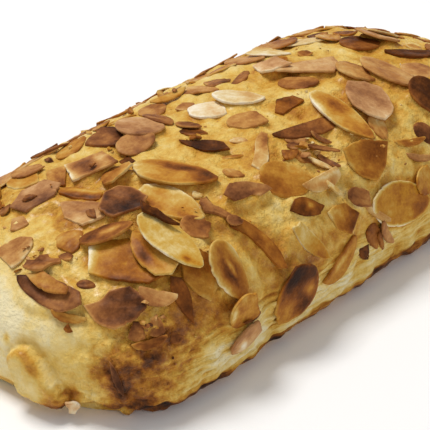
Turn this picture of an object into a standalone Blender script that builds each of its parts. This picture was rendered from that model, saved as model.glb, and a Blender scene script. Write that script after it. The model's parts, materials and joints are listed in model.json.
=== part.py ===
"""Almond danish bar: one baked cushion of laminated dough with large almond flakes on its crust.

Metres, +Z up. X runs along the bar, the folded flap is on the -X end, and the origin is the
middle of the flat base. The dough is one solid. Every large almond flake is a solid of its own,
laid on the dough, or on the flakes already there, the way a stiff thin slice comes to rest.
"""

import math
from itertools import combinations

import bmesh
import bpy
import numpy as np
from mathutils import Matrix, Vector
from mathutils.bvhtree import BVHTree

MM = 0.001

# Dough plan: a nearly square-cornered cushion whose ends bow outwards.
HALF_LENGTH = 75.0 * MM
HALF_WIDTH = 33.0 * MM
END_BOW = 12.8 * MM
SIDE_BOW = 0.5 * MM
PLAN_SQUARENESS = 11.0

# Dough section: a low wall with thin layers, then a full crown.
DOUGH_HEIGHT = 31.3 * MM
WALL_HEIGHT = 14.0 * MM
CROWN_SETBACK = 1.0 * MM
CROWN_POWER = 3.0
CROWN_ROUNDING = 0.6
WALL_PROFILE = (
    (0.0, 3.0),
    (1.2, 1.2),
    (2.4, 0.5),
    (4.0, 0.0),
    (5.8, 0.25),
    (7.6, 0.0),
    (9.4, 0.3),
    (11.6, 0.2),
)
SAG_PLACE = (42.0 * MM, 22.0 * MM)
SAG_RADIUS = 17.0 * MM
SAG_DEPTH = 1.6 * MM

# Dough mesh: lines of the crown's grid on each half, and how strongly they crowd at the rim.
LINES_ALONG = 22
LINES_ACROSS = 11
RIM_CROWDING = 0.76
LUMP_HEIGHT = 0.45 * MM
WALL_WAVE = 0.5 * MM

# Folded flap on the -X end: its outline on the end wall as (across, height), and how far it
# stands proud. Its soft side melts into the wall.
FLAP_OUTLINE = (
    (-7.5, 3.4),
    (-6.6, 5.6),
    (-5.6, 8.0),
    (-5.2, 10.8),
    (-7.4, 12.7),
    (-10.0, 13.0),
    (-12.2, 11.6),
    (-14.6, 8.8),
    (-16.4, 6.6),
    (-17.3, 4.2),
    (-16.4, 1.4),
    (-12.0, 2.6),
)
FLAP_STEPS = 2
FLAP_PROUD = 1.5 * MM
FLAP_SOFT_SIDE = -3.5 * MM
FLAP_SOFT_WIDTH = 5.5 * MM
FLAP_LIP_INSET = 0.86
FLAP_ROOT = 6.0 * MM

# Almond flakes.
FLAKE_THICKNESS = 0.95 * MM
FLAKE_POINTS = 14
FLAKE_TIP_SHARPNESS = 0.35
FLAKE_RIM_BEVEL = 0.25 * MM
CONTACT_GAP = 0.3 * MM
CLEARANCE_MARGIN = 0.4 * MM
STEEPEST_LEAN = math.radians(15.0)
RAY_REACH = 60.0 * MM

# How a flake is broken: each line is (direction it cuts off in degrees, distance kept / half length).
BREAKS = {
    "whole": (),
    "tip": ((8.0, 0.55),),
    "butt": ((188.0, 0.6),),
    "both": ((12.0, 0.62), (172.0, 0.66)),
    "half": ((97.0, 0.12),),
}

TOASTS = {
    "pale": ((0.70, 0.53, 0.25), 0.55),
    "golden": ((0.52, 0.27, 0.055), 0.42),
    "brown": ((0.27, 0.11, 0.035), 0.5),
    "dark": ((0.10, 0.04, 0.018), 0.55),
}
DOUGH_COLOUR = (0.60, 0.38, 0.12)
DOUGH_ROUGHNESS = 0.5

# Flakes laid from above, lowest first:
# along, across, heading in degrees, length, width, break, toast (mm).
CROWN_FLAKES = (
    (-61.5, -21.0, -49, 11.5, 8.5, "whole", "brown"),
    (-53.7, -17.0, -54, 15.5, 10.0, "whole", "golden"),
    (-50.5, -19.5, -104, 12.5, 7.5, "whole", "golden"),
    (-66.4, -9.0, -78, 14.5, 8.5, "whole", "brown"),
    (-66.0, -8.0, -76, 10.0, 6.5, "half", "golden"),
    (-63.4, -4.8, -55, 8.5, 4.5, "tip", "dark"),
    (-38.0, -13.0, -84, 14.5, 7.5, "whole", "pale"),
    (-45.0, -27.0, -60, 12.5, 9.0, "tip", "golden"),
    (-40.4, -28.5, -82, 13.0, 8.5, "whole", "dark"),
    (-46.8, -20.7, -92, 15.5, 8.0, "whole", "pale"),
    (-51.6, -28.0, 75, 9.5, 6.5, "half", "brown"),
    (-31.4, -7.8, -63, 16.5, 10.0, "whole", "golden"),
    (-50.5, -1.5, -60, 10.5, 7.0, "whole", "golden"),
    (-44.7, -6.5, -42, 12.0, 8.5, "tip", "dark"),
    (-52.3, -10.3, -32, 10.5, 5.0, "whole", "brown"),
    (-34.2, -20.0, -60, 8.5, 5.5, "tip", "brown"),
    (-44.7, -15.9, -78, 8.5, 5.0, "half", "dark"),
    (-46.3, 3.4, -74, 9.5, 6.5, "half", "golden"),
    (-38.9, 0.2, -30, 8.5, 6.5, "tip", "golden"),
    (-39.9, 7.3, -20, 13.0, 9.0, "both", "brown"),
    (-51.3, 10.6, -50, 12.5, 8.5, "tip", "brown"),
    (-29.9, 13.0, -20, 10.5, 8.0, "tip", "brown"),
    (-23.3, 9.7, -40, 10.0, 9.0, "whole", "golden"),
    (-19.4, -4.3, -64, 10.5, 7.0, "half", "dark"),
    (-13.2, -13.8, 34, 12.5, 5.5, "whole", "golden"),
    (-14.8, -21.8, -30, 12.5, 8.5, "whole", "golden"),
    (-7.9, -25.0, -8, 12.5, 6.0, "half", "golden"),
    (-25.0, -20.6, -13, 11.5, 6.0, "whole", "brown"),
    (-29.8, -27.5, -80, 15.5, 8.5, "half", "brown"),
    (-15.7, -27.2, -40, 13.0, 6.0, "both", "dark"),
    (-8.7, 4.6, -45, 10.0, 6.5, "tip", "pale"),
    (-1.4, 2.4, -42, 11.0, 7.5, "whole", "pale"),
    (-6.7, -4.4, -25, 10.0, 6.0, "tip", "golden"),
    (3.3, -7.0, -9, 9.5, 6.0, "tip", "brown"),
    (1.5, -14.6, -18, 18.0, 7.5, "half", "brown"),
    (9.0, -16.6, -94, 17.5, 6.8, "whole", "golden"),
    (3.7, -25.9, -125, 14.0, 13.0, "butt", "brown"),
    (18.6, -16.0, -45, 11.5, 10.5, "whole", "brown"),
    (14.2, -1.1, -33, 9.0, 6.0, "whole", "brown"),
    (21.9, 1.6, -40, 12.0, 10.5, "tip", "golden"),
    (25.5, -7.0, -40, 10.5, 8.0, "tip", "golden"),
    (31.7, -12.5, -77, 15.0, 8.5, "whole", "golden"),
    (33.0, -22.0, -60, 12.0, 8.0, "whole", "dark"),
    (15.3, 7.5, -20, 8.5, 7.0, "tip", "brown"),
    (42.5, 4.0, -30, 10.0, 8.0, "whole", "brown"),
    (47.0, 3.0, -60, 10.5, 8.5, "whole", "golden"),
    (47.0, -7.0, -40, 12.0, 8.0, "half", "dark"),
    (-18.6, -30.8, -75, 14.0, 8.0, "whole", "pale"),
)

# Flakes laid on the wall, seen from a compass direction (degrees from +X):
# compass, along the wall, height, heading above level, length, width, break, toast (mm).
WALL_FLAKES = (
    (-90, -6.5, 19.0, 10, 10.5, 7.0, "both", "brown"),
    (-90, -25.0, 12.0, 42, 15.0, 10.0, "whole", "dark"),
    (-90, -9.9, 11.0, 24, 12.0, 7.5, "half", "brown"),
    (-90, -40.4, 15.0, 0, 9.5, 6.5, "tip", "golden"),
    (-90, -40.0, 9.3, 20, 10.0, 6.0, "tip", "brown"),
    (-90, 10.5, 15.5, -20, 18.5, 9.5, "whole", "golden"),
    (-140, -22.5, 10.5, 100, 8.5, 4.5, "half", "dark"),
    (-165, -0.2, 3.6, 10, 4.6, 3.8, "tip", "pale"),
)


def clear_scene():
    """Remove every object of the scene."""
    for item in list(bpy.data.objects):
        bpy.data.objects.remove(item, do_unlink=True)


def make_material(name, colour, roughness):
    """Return a Principled material of one colour."""
    material = bpy.data.materials.new(name)
    material.use_nodes = True
    shader = material.node_tree.nodes["Principled BSDF"]
    shader.inputs["Base Color"].default_value = (*colour, 1.0)
    shader.inputs["Roughness"].default_value = roughness
    shader.inputs["Metallic"].default_value = 0.0
    return material


def add_object(name, builder, material):
    """Turn a bmesh into an object of the scene and free the bmesh."""
    mesh = bpy.data.meshes.new(name)
    bmesh.ops.recalc_face_normals(builder, faces=builder.faces)
    builder.to_mesh(mesh)
    builder.free()
    mesh.materials.append(material)
    item = bpy.data.objects.new(name, mesh)
    bpy.context.scene.collection.objects.link(item)
    return item


# ---------------------------------------------------------------- dough


def half_lines(count):
    """Return positions from 0 to 1 that crowd towards 1."""
    steps = np.linspace(0.0, 1.0, count + 1)
    return (1.0 - RIM_CROWDING) * steps + RIM_CROWDING * np.sin(steps * math.pi / 2.0)


def grid_lines(count):
    """Return mirrored line positions from -1 to 1."""
    half = half_lines(count)
    return np.concatenate((-half[:0:-1], half))


def plan_direction(u, v):
    """Return the reach (0 to 1) of a grid point and its direction on the plan outline."""
    reach = max(abs(u), abs(v))
    if reach == 0.0:
        return 0.0, 0.0, 0.0
    along, across = u / reach, v / reach
    size = abs(along) ** PLAN_SQUARENESS + abs(across) ** PLAN_SQUARENESS
    scale = size ** (-1.0 / PLAN_SQUARENESS)
    return reach, along * scale, across * scale


def plan_point(along, across, inset):
    """Return x and y of an outline direction, moved in by an inset."""
    x = along * (HALF_LENGTH - inset - END_BOW * across**2)
    y = across * (HALF_WIDTH - inset - SIDE_BOW * along**2)
    return x, y


def lumps(x, y):
    """Return the crown's soft unevenness at a plan point, and the low place by its far corner."""
    waves = (
        math.sin(x / (9.1 * MM) + 1.3) * math.cos(y / (7.3 * MM) + 0.4)
        + 0.7 * math.sin((x - y) / (5.7 * MM) + 2.1)
        + 0.5 * math.cos((x + 1.7 * y) / (4.4 * MM))
    )
    away = math.hypot(x - SAG_PLACE[0], y - SAG_PLACE[1]) / SAG_RADIUS
    return LUMP_HEIGHT * waves / 2.2 - SAG_DEPTH * math.exp(-(away**2))


def wall_wave(along, across, height):
    """Return how far the baked wall swells or sinks along the outline."""
    turn = math.atan2(across, along)
    slow = math.sin(5.0 * turn + 0.8) + 0.6 * math.sin(11.0 * turn + height / (2.6 * MM))
    return WALL_WAVE * slow / 1.6


def crown_point(u, v):
    """Return a point of the crown above a grid position."""
    reach, along, across = plan_direction(u, v)
    x, y = plan_point(along, across, CROWN_SETBACK)
    rise = (1.0 - reach**CROWN_POWER) ** CROWN_ROUNDING
    z = WALL_HEIGHT + (DOUGH_HEIGHT - WALL_HEIGHT) * rise
    x, y = x * reach, y * reach
    return Vector((x, y, z + lumps(x, y) * rise))


def rim_walk(columns, rows):
    """Return the grid indices of the crown's rim, once round."""
    last_column, last_row = columns - 1, rows - 1
    near = [(i, 0) for i in range(last_column)]
    far_end = [(last_column, j) for j in range(last_row)]
    back = [(i, last_row) for i in range(last_column, 0, -1)]
    near_end = [(0, j) for j in range(last_row, 0, -1)]
    return near + far_end + back + near_end


def build_dough(material):
    """Model the cushion of dough: crown grid, layered wall and flat base."""
    builder = bmesh.new()
    us, vs = grid_lines(LINES_ALONG), grid_lines(LINES_ACROSS)
    crown = [[builder.verts.new(crown_point(u, v)) for v in vs] for u in us]
    for i in range(len(us) - 1):
        for j in range(len(vs) - 1):
            corners = (crown[i][j], crown[i + 1][j], crown[i + 1][j + 1], crown[i][j + 1])
            builder.faces.new(corners)
    walk = rim_walk(len(us), len(vs))
    upper = [crown[i][j] for i, j in walk]
    for height, inset in reversed(WALL_PROFILE):
        ring = []
        for i, j in walk:
            _, along, across = plan_direction(us[i], vs[j])
            swell = wall_wave(along, across, height * MM) if height else 0.0
            x, y = plan_point(along, across, inset * MM - swell)
            ring.append(builder.verts.new((x, y, height * MM)))
        bridge(builder, ring, upper)
        upper = ring
    builder.faces.new(upper)
    return add_object("dough_body", builder, material)


def bridge(builder, lower, upper):
    """Join two closed rings of equal count with quads."""
    count = len(lower)
    for k in range(count):
        nxt = (k + 1) % count
        builder.faces.new((lower[k], lower[nxt], upper[nxt], upper[k]))


def smooth_loop(points, steps):
    """Return a closed Catmull-Rom curve through the points."""
    count = len(points)
    result = []
    for k in range(count):
        p0, p1, p2, p3 = (np.array(points[(k + d) % count], float) for d in (-1, 0, 1, 2))
        for step in range(steps):
            t = step / steps
            blend = 2.0 * p1 + (p2 - p0) * t
            blend = blend + (2.0 * p0 - 5.0 * p1 + 4.0 * p2 - p3) * t**2
            blend = blend + (3.0 * p1 - p0 - 3.0 * p2 + p3) * t**3
            result.append(blend / 2.0)
    return result


def end_wall_x(y, z):
    """Return x of the -X end wall at a distance across and a height."""
    heights, insets = zip(*WALL_PROFILE, (WALL_HEIGHT / MM, CROWN_SETBACK / MM))
    inset = np.interp(z / MM, heights, insets) * MM
    return -(HALF_LENGTH - inset - END_BOW * (y / HALF_WIDTH) ** 2)


def flap_stand(y):
    """Return how far the flap stands off the wall at a distance across."""
    return FLAP_PROUD * float(np.clip((FLAP_SOFT_SIDE - y) / FLAP_SOFT_WIDTH, 0.2, 1.0))


def build_flap(material):
    """Model the folded lobe of dough that laps the -X end."""
    outline = [point * MM for point in smooth_loop(FLAP_OUTLINE, FLAP_STEPS)]
    middle = sum(outline) / len(outline)
    lip = [middle + (point - middle) * FLAP_LIP_INSET for point in outline]
    builder = bmesh.new()
    root = [builder.verts.new((end_wall_x(y, z) + FLAP_ROOT, y, z)) for y, z in outline]
    edge, face = (
        [builder.verts.new((end_wall_x(y, z) - share * flap_stand(y), y, z)) for y, z in loop]
        for loop, share in ((outline, 0.55), (lip, 1.0))
    )
    bridge(builder, root, edge)
    bridge(builder, edge, face)
    builder.faces.new(list(reversed(root)))
    centre_x = end_wall_x(*middle) - 1.15 * flap_stand(middle[0])
    centre = builder.verts.new((centre_x, *middle))
    for k, vertex in enumerate(face):
        builder.faces.new((vertex, face[(k + 1) % len(face)], centre))
    return add_object("flap_guide", builder, material)


def join_flap(dough, flap):
    """Weld the flap into the dough, so that the dough is one solid."""
    union = dough.modifiers.new("flap", "BOOLEAN")
    union.operation = "UNION"
    union.solver = "EXACT"
    union.object = flap
    graph = bpy.context.evaluated_depsgraph_get()
    joined = bpy.data.meshes.new_from_object(dough.evaluated_get(graph))
    dough.modifiers.clear()
    dough.data = joined
    bpy.data.objects.remove(flap, do_unlink=True)


# ---------------------------------------------------------------- almond flakes


def clip_outline(points, direction, keep):
    """Cut a closed outline along a straight line.

    The line stands at the distance keep from the origin, square to the direction.
    """
    kept = []
    for k, point in enumerate(points):
        before = points[k - 1]
        inside = point @ direction <= keep
        if inside != (before @ direction <= keep):
            share = (keep - before @ direction) / ((point - before) @ direction)
            kept.append(before + (point - before) * share)
        if inside:
            kept.append(point)
    return kept


def flake_outline(length, width, breakage):
    """Return the outline of an almond slice, its pointed end at +X."""
    turns = (np.arange(FLAKE_POINTS) + 0.5) * 2.0 * math.pi / FLAKE_POINTS
    across = np.sin(turns) * np.abs(np.sin(turns / 2.0)) ** FLAKE_TIP_SHARPNESS
    across = across / np.abs(across).max() * width / 2.0
    along = np.cos(turns) / np.abs(np.cos(turns)).max() * length / 2.0
    outline = list(np.stack((along, across), axis=1))
    for degrees, share in BREAKS[breakage]:
        turn = math.radians(degrees)
        half = length / 2.0 if abs(math.cos(turn)) > 0.5 else width / 2.0
        outline = clip_outline(outline, np.array((math.cos(turn), math.sin(turn))), share * half)
    outline = np.array(outline)
    return outline - (outline.max(axis=0) + outline.min(axis=0)) / 2.0


def offset_outline(outline, distance):
    """Return a convex outline moved inwards by a distance, about its middle."""
    reach = np.linalg.norm(outline, axis=1, keepdims=True)
    return outline * (1.0 - distance / reach)


def inside_outline(points, outline):
    """Return which points lie inside a convex outline that turns left."""
    keep = np.ones(len(points), bool)
    for k, corner in enumerate(outline):
        side = outline[(k + 1) % len(outline)] - corner
        offset = points - corner
        keep &= side[0] * offset[:, 1] - side[1] * offset[:, 0] >= 0.0
    return keep


def tightest_plane(points, heights):
    """Return the plane through three supports that clears the others and is lowest at the origin."""
    best = None
    for trio in combinations(range(len(points)), 3):
        index = list(trio)
        system = np.column_stack((points[index], np.ones(3)))
        if abs(np.linalg.det(system)) < 1e-12:
            continue
        plane = np.linalg.solve(system, heights[index])
        clear = points @ plane[:2] + plane[2] - heights
        if clear.min() > -1e-7 and (best is None or plane[2] < best[2]):
            best = plane
    return best


def resting_plane(points, heights):
    """Return slopes and height of the plane that a stiff slice rests in.

    Far posts, one in each direction, keep the slice from leaning more than it may. Supports are
    added one by one, the one that pokes through most first, until none does.
    """
    turns = np.arange(4) * math.pi / 2.0
    post_reach = 0.1
    posts = post_reach * np.column_stack((np.cos(turns), np.sin(turns)))
    level = np.median(heights)
    drop = post_reach * math.tan(STEEPEST_LEAN)
    active = posts
    active_heights = np.full(4, level - drop)
    plane = tightest_plane(active, active_heights)
    for _ in range(12):
        poke = heights - points @ plane[:2] - plane[2]
        worst = int(poke.argmax())
        if poke[worst] < 1e-6:
            break
        active = np.vstack((active, points[worst]))
        active_heights = np.append(active_heights, heights[worst])
        plane = tightest_plane(active, active_heights)
    poke = heights - points @ plane[:2] - plane[2]
    plane[2] += max(float(poke.max()), 0.0)
    return plane


class Supports:
    """What a new flake may rest on: surfaces to cast rays at, and their corner points."""

    def __init__(self):
        self.trees = []
        self.corners = np.empty((0, 3))

    def add(self, item):
        """Take in an object at its place."""
        mesh = item.data
        corners = [item.matrix_world @ vertex.co for vertex in mesh.vertices]
        faces = [tuple(face.vertices) for face in mesh.polygons]
        self.trees.append(BVHTree.FromPolygons(corners, faces))
        self.corners = np.vstack((self.corners, np.array(corners)))

    def hit(self, start, direction):
        """Return the first place and normal that a ray meets, or None."""
        nearest = None
        for tree in self.trees:
            place, normal, _, distance = tree.ray_cast(start, direction)
            if place is not None and (nearest is None or distance < nearest[2]):
                nearest = (place, normal, distance)
        return nearest


def surface_frame(dough_tree, start, direction, heading, spread):
    """Return a frame on the dough: origin, long axis, cross axis and averaged normal."""
    place, normal, _, _ = dough_tree.ray_cast(start, direction)
    total = normal.copy()
    side = direction.cross(heading).normalized()
    for along, across in ((1, 0), (-1, 0), (0, 1), (0, -1)):
        shift = heading * along * spread + side * across * spread
        _, nearby, _, _ = dough_tree.ray_cast(start + shift, direction)
        if nearby is not None:
            total += nearby
    normal = total.normalized()
    long_axis = (heading - normal * heading.dot(normal)).normalized()
    return place, long_axis, normal.cross(long_axis), normal


def support_heights(outline, frame, supports):
    """Return plan points under an outline, with the height of what supports each of them."""
    origin, long_axis, cross_axis, normal = frame
    clear = offset_outline(outline, -CLEARANCE_MARGIN)
    samples = []
    for k, corner in enumerate(clear):
        nxt = clear[(k + 1) % len(clear)]
        samples += [corner + (nxt - corner) * share for share in (0.0, 0.34, 0.67)]
        samples += [corner * share for share in (0.35, 0.7)]
    points = []
    heights = []
    for u, v in samples:
        start = origin + long_axis * u + cross_axis * v + normal * RAY_REACH
        found = supports.hit(start, -normal)
        if found is not None and found[2] < 1.5 * RAY_REACH:
            points.append((u, v))
            heights.append(RAY_REACH - found[2])
    offset = supports.corners - np.array(origin)
    local = offset @ np.array((long_axis, cross_axis, normal)).T
    under = inside_outline(local[:, :2], clear) & (np.abs(local[:, 2]) < RAY_REACH / 2.0)
    points = np.vstack((np.array(points), local[under, :2]))
    return points, np.append(heights, local[under, 2])


def lay_flake(name, outline, frame, supports, material):
    """Build one flake, resting on what is under it."""
    origin, long_axis, cross_axis, normal = frame
    points, heights = support_heights(outline, frame, supports)
    slope_u, slope_v, height = resting_plane(points, heights)
    up = (normal - long_axis * slope_u - cross_axis * slope_v).normalized()
    axis_x = (long_axis + normal * slope_u).normalized()
    axis_x = (axis_x - up * axis_x.dot(up)).normalized()
    base = origin + normal * height + up * CONTACT_GAP
    turn = Matrix((axis_x, up.cross(axis_x), up)).transposed().to_4x4()
    bevelled = offset_outline(outline, FLAKE_RIM_BEVEL)
    builder = bmesh.new()
    levels = ((bevelled, 0.0), (outline, FLAKE_THICKNESS / 2.0), (bevelled, FLAKE_THICKNESS))
    rings = []
    for points, level in levels:
        rings.append([builder.verts.new((u, v, level)) for u, v in points])
    bridge(builder, rings[0], rings[1])
    bridge(builder, rings[1], rings[2])
    builder.faces.new(list(reversed(rings[0])))
    builder.faces.new(rings[2])
    builder.transform(Matrix.Translation(base) @ turn)
    flake = add_object(name, builder, material)
    supports.add(flake)
    return flake


def crown_frames(dough_tree):
    """Yield the frame, size, break and toast of each flake laid from above."""
    for along, across, degrees, length, width, breakage, toast in CROWN_FLAKES:
        turn = math.radians(degrees)
        heading = Vector((math.cos(turn), math.sin(turn), 0.0))
        start = Vector((along * MM, across * MM, RAY_REACH + DOUGH_HEIGHT))
        frame = surface_frame(dough_tree, start, Vector((0, 0, -1)), heading, width * MM / 3.0)
        yield frame, length * MM, width * MM, breakage, toast


def wall_frames(dough_tree):
    """Yield the frame, size, break and toast of each flake laid on the wall."""
    for compass, along, height, degrees, length, width, breakage, toast in WALL_FLAKES:
        facing = math.radians(compass)
        outward = Vector((math.cos(facing), math.sin(facing), 0.0))
        level = Vector((-outward.y, outward.x, 0.0))
        turn = math.radians(degrees)
        heading = level * math.cos(turn) + Vector((0.0, 0.0, math.sin(turn)))
        start = level * along * MM + outward * 2.0 * HALF_LENGTH + Vector((0.0, 0.0, height * MM))
        frame = surface_frame(dough_tree, start, -outward, heading, width * MM / 3.0)
        yield frame, length * MM, width * MM, breakage, toast


def build_flakes(dough):
    """Lay every flake, the lowest first."""
    supports = Supports()
    supports.add(dough)
    dough_tree = supports.trees[0]
    materials = {
        toast: make_material(f"almond_{toast}", colour, roughness)
        for toast, (colour, roughness) in TOASTS.items()
    }
    layout = list(crown_frames(dough_tree)) + list(wall_frames(dough_tree))
    flakes = []
    for number, (frame, length, width, breakage, toast) in enumerate(layout, start=1):
        outline = flake_outline(length, width, breakage)
        name = f"almond_flake_{number:02d}_{toast}"
        flakes.append(lay_flake(name, outline, frame, supports, materials[toast]))
    return flakes


# ---------------------------------------------------------------- whole object


def centre_on_base(items):
    """Move everything so that the origin is the middle of the bounding box's bottom."""
    corners = np.array([item.matrix_world @ v.co for item in items for v in item.data.vertices])
    low, high = corners.min(axis=0), corners.max(axis=0)
    middle = (low + high) / 2.0
    shift = Matrix.Translation((-middle[0], -middle[1], -low[2]))
    for item in items:
        item.data.transform(shift)


def main():
    """Build the danish bar."""
    clear_scene()
    dough_material = make_material("dough", DOUGH_COLOUR, DOUGH_ROUGHNESS)
    dough = build_dough(dough_material)
    join_flap(dough, build_flap(dough_material))
    flakes = build_flakes(dough)
    centre_on_base([dough, *flakes])


main()
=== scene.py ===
"""Almond danish bar: the finished looks of a baked, egg-washed bar of laminated dough.

The dough becomes a fine mesh with a rough crust, layered sides and a crisp lower rim. Every large
almond slice becomes a thin curled slice with its own toasting, and smaller slices, fragments and
crumbs fill the crust between them. Everything is in metres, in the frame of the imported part.
"""

import json
import logging
import math
from dataclasses import dataclass, field
from enum import Enum
from typing import Sequence

import bmesh
import bpy
import numpy as np
from mathutils import Matrix, Vector, noise
from mathutils.bvhtree import BVHTree

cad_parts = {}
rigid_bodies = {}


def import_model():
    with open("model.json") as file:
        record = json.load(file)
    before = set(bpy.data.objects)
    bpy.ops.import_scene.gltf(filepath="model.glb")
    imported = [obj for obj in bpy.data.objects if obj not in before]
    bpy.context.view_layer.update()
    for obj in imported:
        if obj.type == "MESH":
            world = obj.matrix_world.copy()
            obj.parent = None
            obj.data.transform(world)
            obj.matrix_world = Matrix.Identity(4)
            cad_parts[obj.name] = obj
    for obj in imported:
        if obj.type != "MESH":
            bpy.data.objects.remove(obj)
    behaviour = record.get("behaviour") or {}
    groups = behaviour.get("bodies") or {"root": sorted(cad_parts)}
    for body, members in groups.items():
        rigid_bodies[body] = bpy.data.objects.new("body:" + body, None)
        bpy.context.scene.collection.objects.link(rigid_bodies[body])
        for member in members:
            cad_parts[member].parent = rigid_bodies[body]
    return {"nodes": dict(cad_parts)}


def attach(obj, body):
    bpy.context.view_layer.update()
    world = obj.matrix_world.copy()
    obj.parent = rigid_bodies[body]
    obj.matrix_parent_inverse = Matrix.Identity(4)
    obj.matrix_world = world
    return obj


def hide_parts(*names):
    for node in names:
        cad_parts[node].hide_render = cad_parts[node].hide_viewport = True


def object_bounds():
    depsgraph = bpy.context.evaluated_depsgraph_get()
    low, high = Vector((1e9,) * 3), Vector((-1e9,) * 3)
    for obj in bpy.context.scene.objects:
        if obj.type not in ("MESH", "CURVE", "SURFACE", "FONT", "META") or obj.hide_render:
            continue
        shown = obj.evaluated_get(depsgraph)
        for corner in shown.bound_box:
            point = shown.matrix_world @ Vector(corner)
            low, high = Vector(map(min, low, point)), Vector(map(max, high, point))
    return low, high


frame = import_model()
CAD_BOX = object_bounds()
LOG = logging.getLogger("danish_bar")

MM = 0.001
BODY = "root"
DOUGH_NODE = "dough_body"
VIEW_TURN = math.radians(47.885)
VIEW_RISE = math.radians(31.445)
SEEN_RIGHT = Vector((math.cos(VIEW_TURN), -math.sin(VIEW_TURN), 0.0))
SEEN_AWAY = Vector((math.sin(VIEW_TURN), math.cos(VIEW_TURN), 1.0))
UP = Vector((0.0, 0.0, 1.0))
DOWN = Vector((0.0, 0.0, -1.0))
OVERHEAD_MM = 80.0
SEED = 11


class Toast(Enum):
    """How far an almond slice is toasted: its slot's last word, its mean toast from 0 to 1, its gloss."""

    PALE = ("pale", 0.24, 0.05)
    GOLDEN = ("golden", 0.47, 0.05)
    BROWN = ("brown", 0.63, 0.03)
    DARK = ("dark", 0.81, 0.03)

    def __init__(self, word: str, level: float, gloss: float) -> None:
        """Name the three values."""
        self.word, self.level, self.gloss = word, level, gloss


class Break(Enum):
    """Outline of a loose slice: directions it is broken off at, and the half length kept there."""

    WHOLE = ()
    TIP = ((8.0, 0.5),)
    BUTT = ((188.0, 0.55),)
    HALF = ((97.0, 0.1),)
    BOTH = ((12.0, 0.55), (172.0, 0.6))
    CORNER = ((48.0, 0.3), (162.0, 0.7))


# ---------------------------------------------------------------- small helpers


def smoothstep(low: float, high: float, value: np.ndarray) -> np.ndarray:
    """Ease from 0 to 1 between two values.

    Args:
        low: value at which the result leaves 0.
        high: value at which the result reaches 1.
        value: where it is asked.

    Returns:
        The eased share, of the same shape as value.
    """
    share = np.clip((value - low) / (high - low), 0.0, 1.0)
    return share * share * (3.0 - 2.0 * share)


def blob(points: np.ndarray, middle: Sequence[float], radii: Sequence[float]) -> np.ndarray:
    """Return a soft spot that is 1 at its middle and fades over its radii.

    Args:
        points: places, one row each.
        middle: the spot's middle, in the points' unit.
        radii: how far it reaches along each axis, in the same unit.

    Returns:
        One share for each point.
    """
    away = (points[:, : len(middle)] - np.array(middle)) / np.array(radii)
    return np.exp(-(away**2).sum(axis=1))


def ridge(value: np.ndarray, middle: float, width: float) -> np.ndarray:
    """Return a soft ridge that is 1 at a value and fades over its width."""
    return np.exp(-(((value - middle) / width) ** 2))


def ripples(*columns: np.ndarray | float) -> np.ndarray:
    """Return smooth noise at each row of three columns of coordinates."""
    return np.array([noise.noise(Vector(row)) for row in np.column_stack(np.broadcast_arrays(*columns))])


def lattice(points: np.ndarray, scale: float, seed: float) -> np.ndarray:
    """Return smooth noise from about -1 to 1 at each point.

    Args:
        points: places.
        scale: size of one bump, in the points' unit.
        seed: shifts the pattern.

    Returns:
        One value for each point.
    """
    shift = Vector((seed, seed * 1.7, -seed))
    return np.array([noise.noise(Vector(p) + shift) for p in points / scale]) * 1.6


def seen(red: int, green: int, blue: int) -> tuple[float, float, float, float]:
    """Turn a colour of 0 to 255 as the eye sees it into the linear colour a shader takes.

    Args:
        red: 0 to 255.
        green: 0 to 255.
        blue: 0 to 255.

    Returns:
        The linear colour, opaque.
    """
    shares = (value / 255.0 for value in (red, green, blue))
    low = [s / 12.92 if s <= 0.04045 else ((s + 0.055) / 1.055) ** 2.4 for s in shares]
    return (low[0], low[1], low[2], 1.0)


def mesh_arrays(mesh: bpy.types.Mesh) -> tuple[np.ndarray, np.ndarray]:
    """Return the places and the normals of a mesh's vertices.

    Args:
        mesh: the mesh.

    Returns:
        The places and the normals, one row for each vertex.
    """
    places = np.empty(len(mesh.vertices) * 3)
    mesh.vertices.foreach_get("co", places)
    normals = np.empty(len(mesh.vertices) * 3)
    mesh.vertex_normals.foreach_get("vector", normals)
    return places.reshape(-1, 3), normals.reshape(-1, 3)


def set_places(mesh: bpy.types.Mesh, places: np.ndarray) -> None:
    """Move a mesh's vertices."""
    mesh.vertices.foreach_set("co", places.ravel())
    mesh.update()


def set_floats(mesh: bpy.types.Mesh, name: str, values: np.ndarray) -> None:
    """Store one number for each vertex under a name."""
    attribute = mesh.attributes.get(name) or mesh.attributes.new(name, "FLOAT", "POINT")
    attribute.data.foreach_set("value", np.asarray(values, np.float32))


def set_vectors(mesh: bpy.types.Mesh, name: str, values: np.ndarray) -> None:
    """Store one vector for each vertex under a name."""
    attribute = mesh.attributes.get(name) or mesh.attributes.new(name, "FLOAT_VECTOR", "POINT")
    attribute.data.foreach_set("vector", np.asarray(values, np.float32).ravel())


def new_object(name: str, data: bpy.types.ID) -> bpy.types.Object:
    """Put a mesh, a camera or a light into the scene under a name, at the origin.

    Args:
        name: the object's name.
        data: what it shows.

    Returns:
        The new object.
    """
    item = bpy.data.objects.new(name, data)
    bpy.context.scene.collection.objects.link(item)
    return item


def dress(item: bpy.types.Object, material: bpy.types.Material) -> None:
    """Give a finished piece its material and body.

    Args:
        item: the finished piece.
        material: its finish.
    """
    item.data.materials.clear()
    item.data.materials.append(material)
    item.data.shade_smooth()
    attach(item, BODY)
    LOG.info("%s: %d faces", item.name, len(item.data.polygons))


def welded(mesh: bpy.types.Mesh) -> bmesh.types.BMesh:
    """Return a mesh with its doubled corners joined; the caller frees it.

    Args:
        mesh: the mesh, which stays as it is.

    Returns:
        The joined copy.
    """
    builder = bmesh.new()
    builder.from_mesh(mesh)
    bmesh.ops.remove_doubles(builder, verts=builder.verts, dist=0.001 * MM)
    return builder


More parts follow.
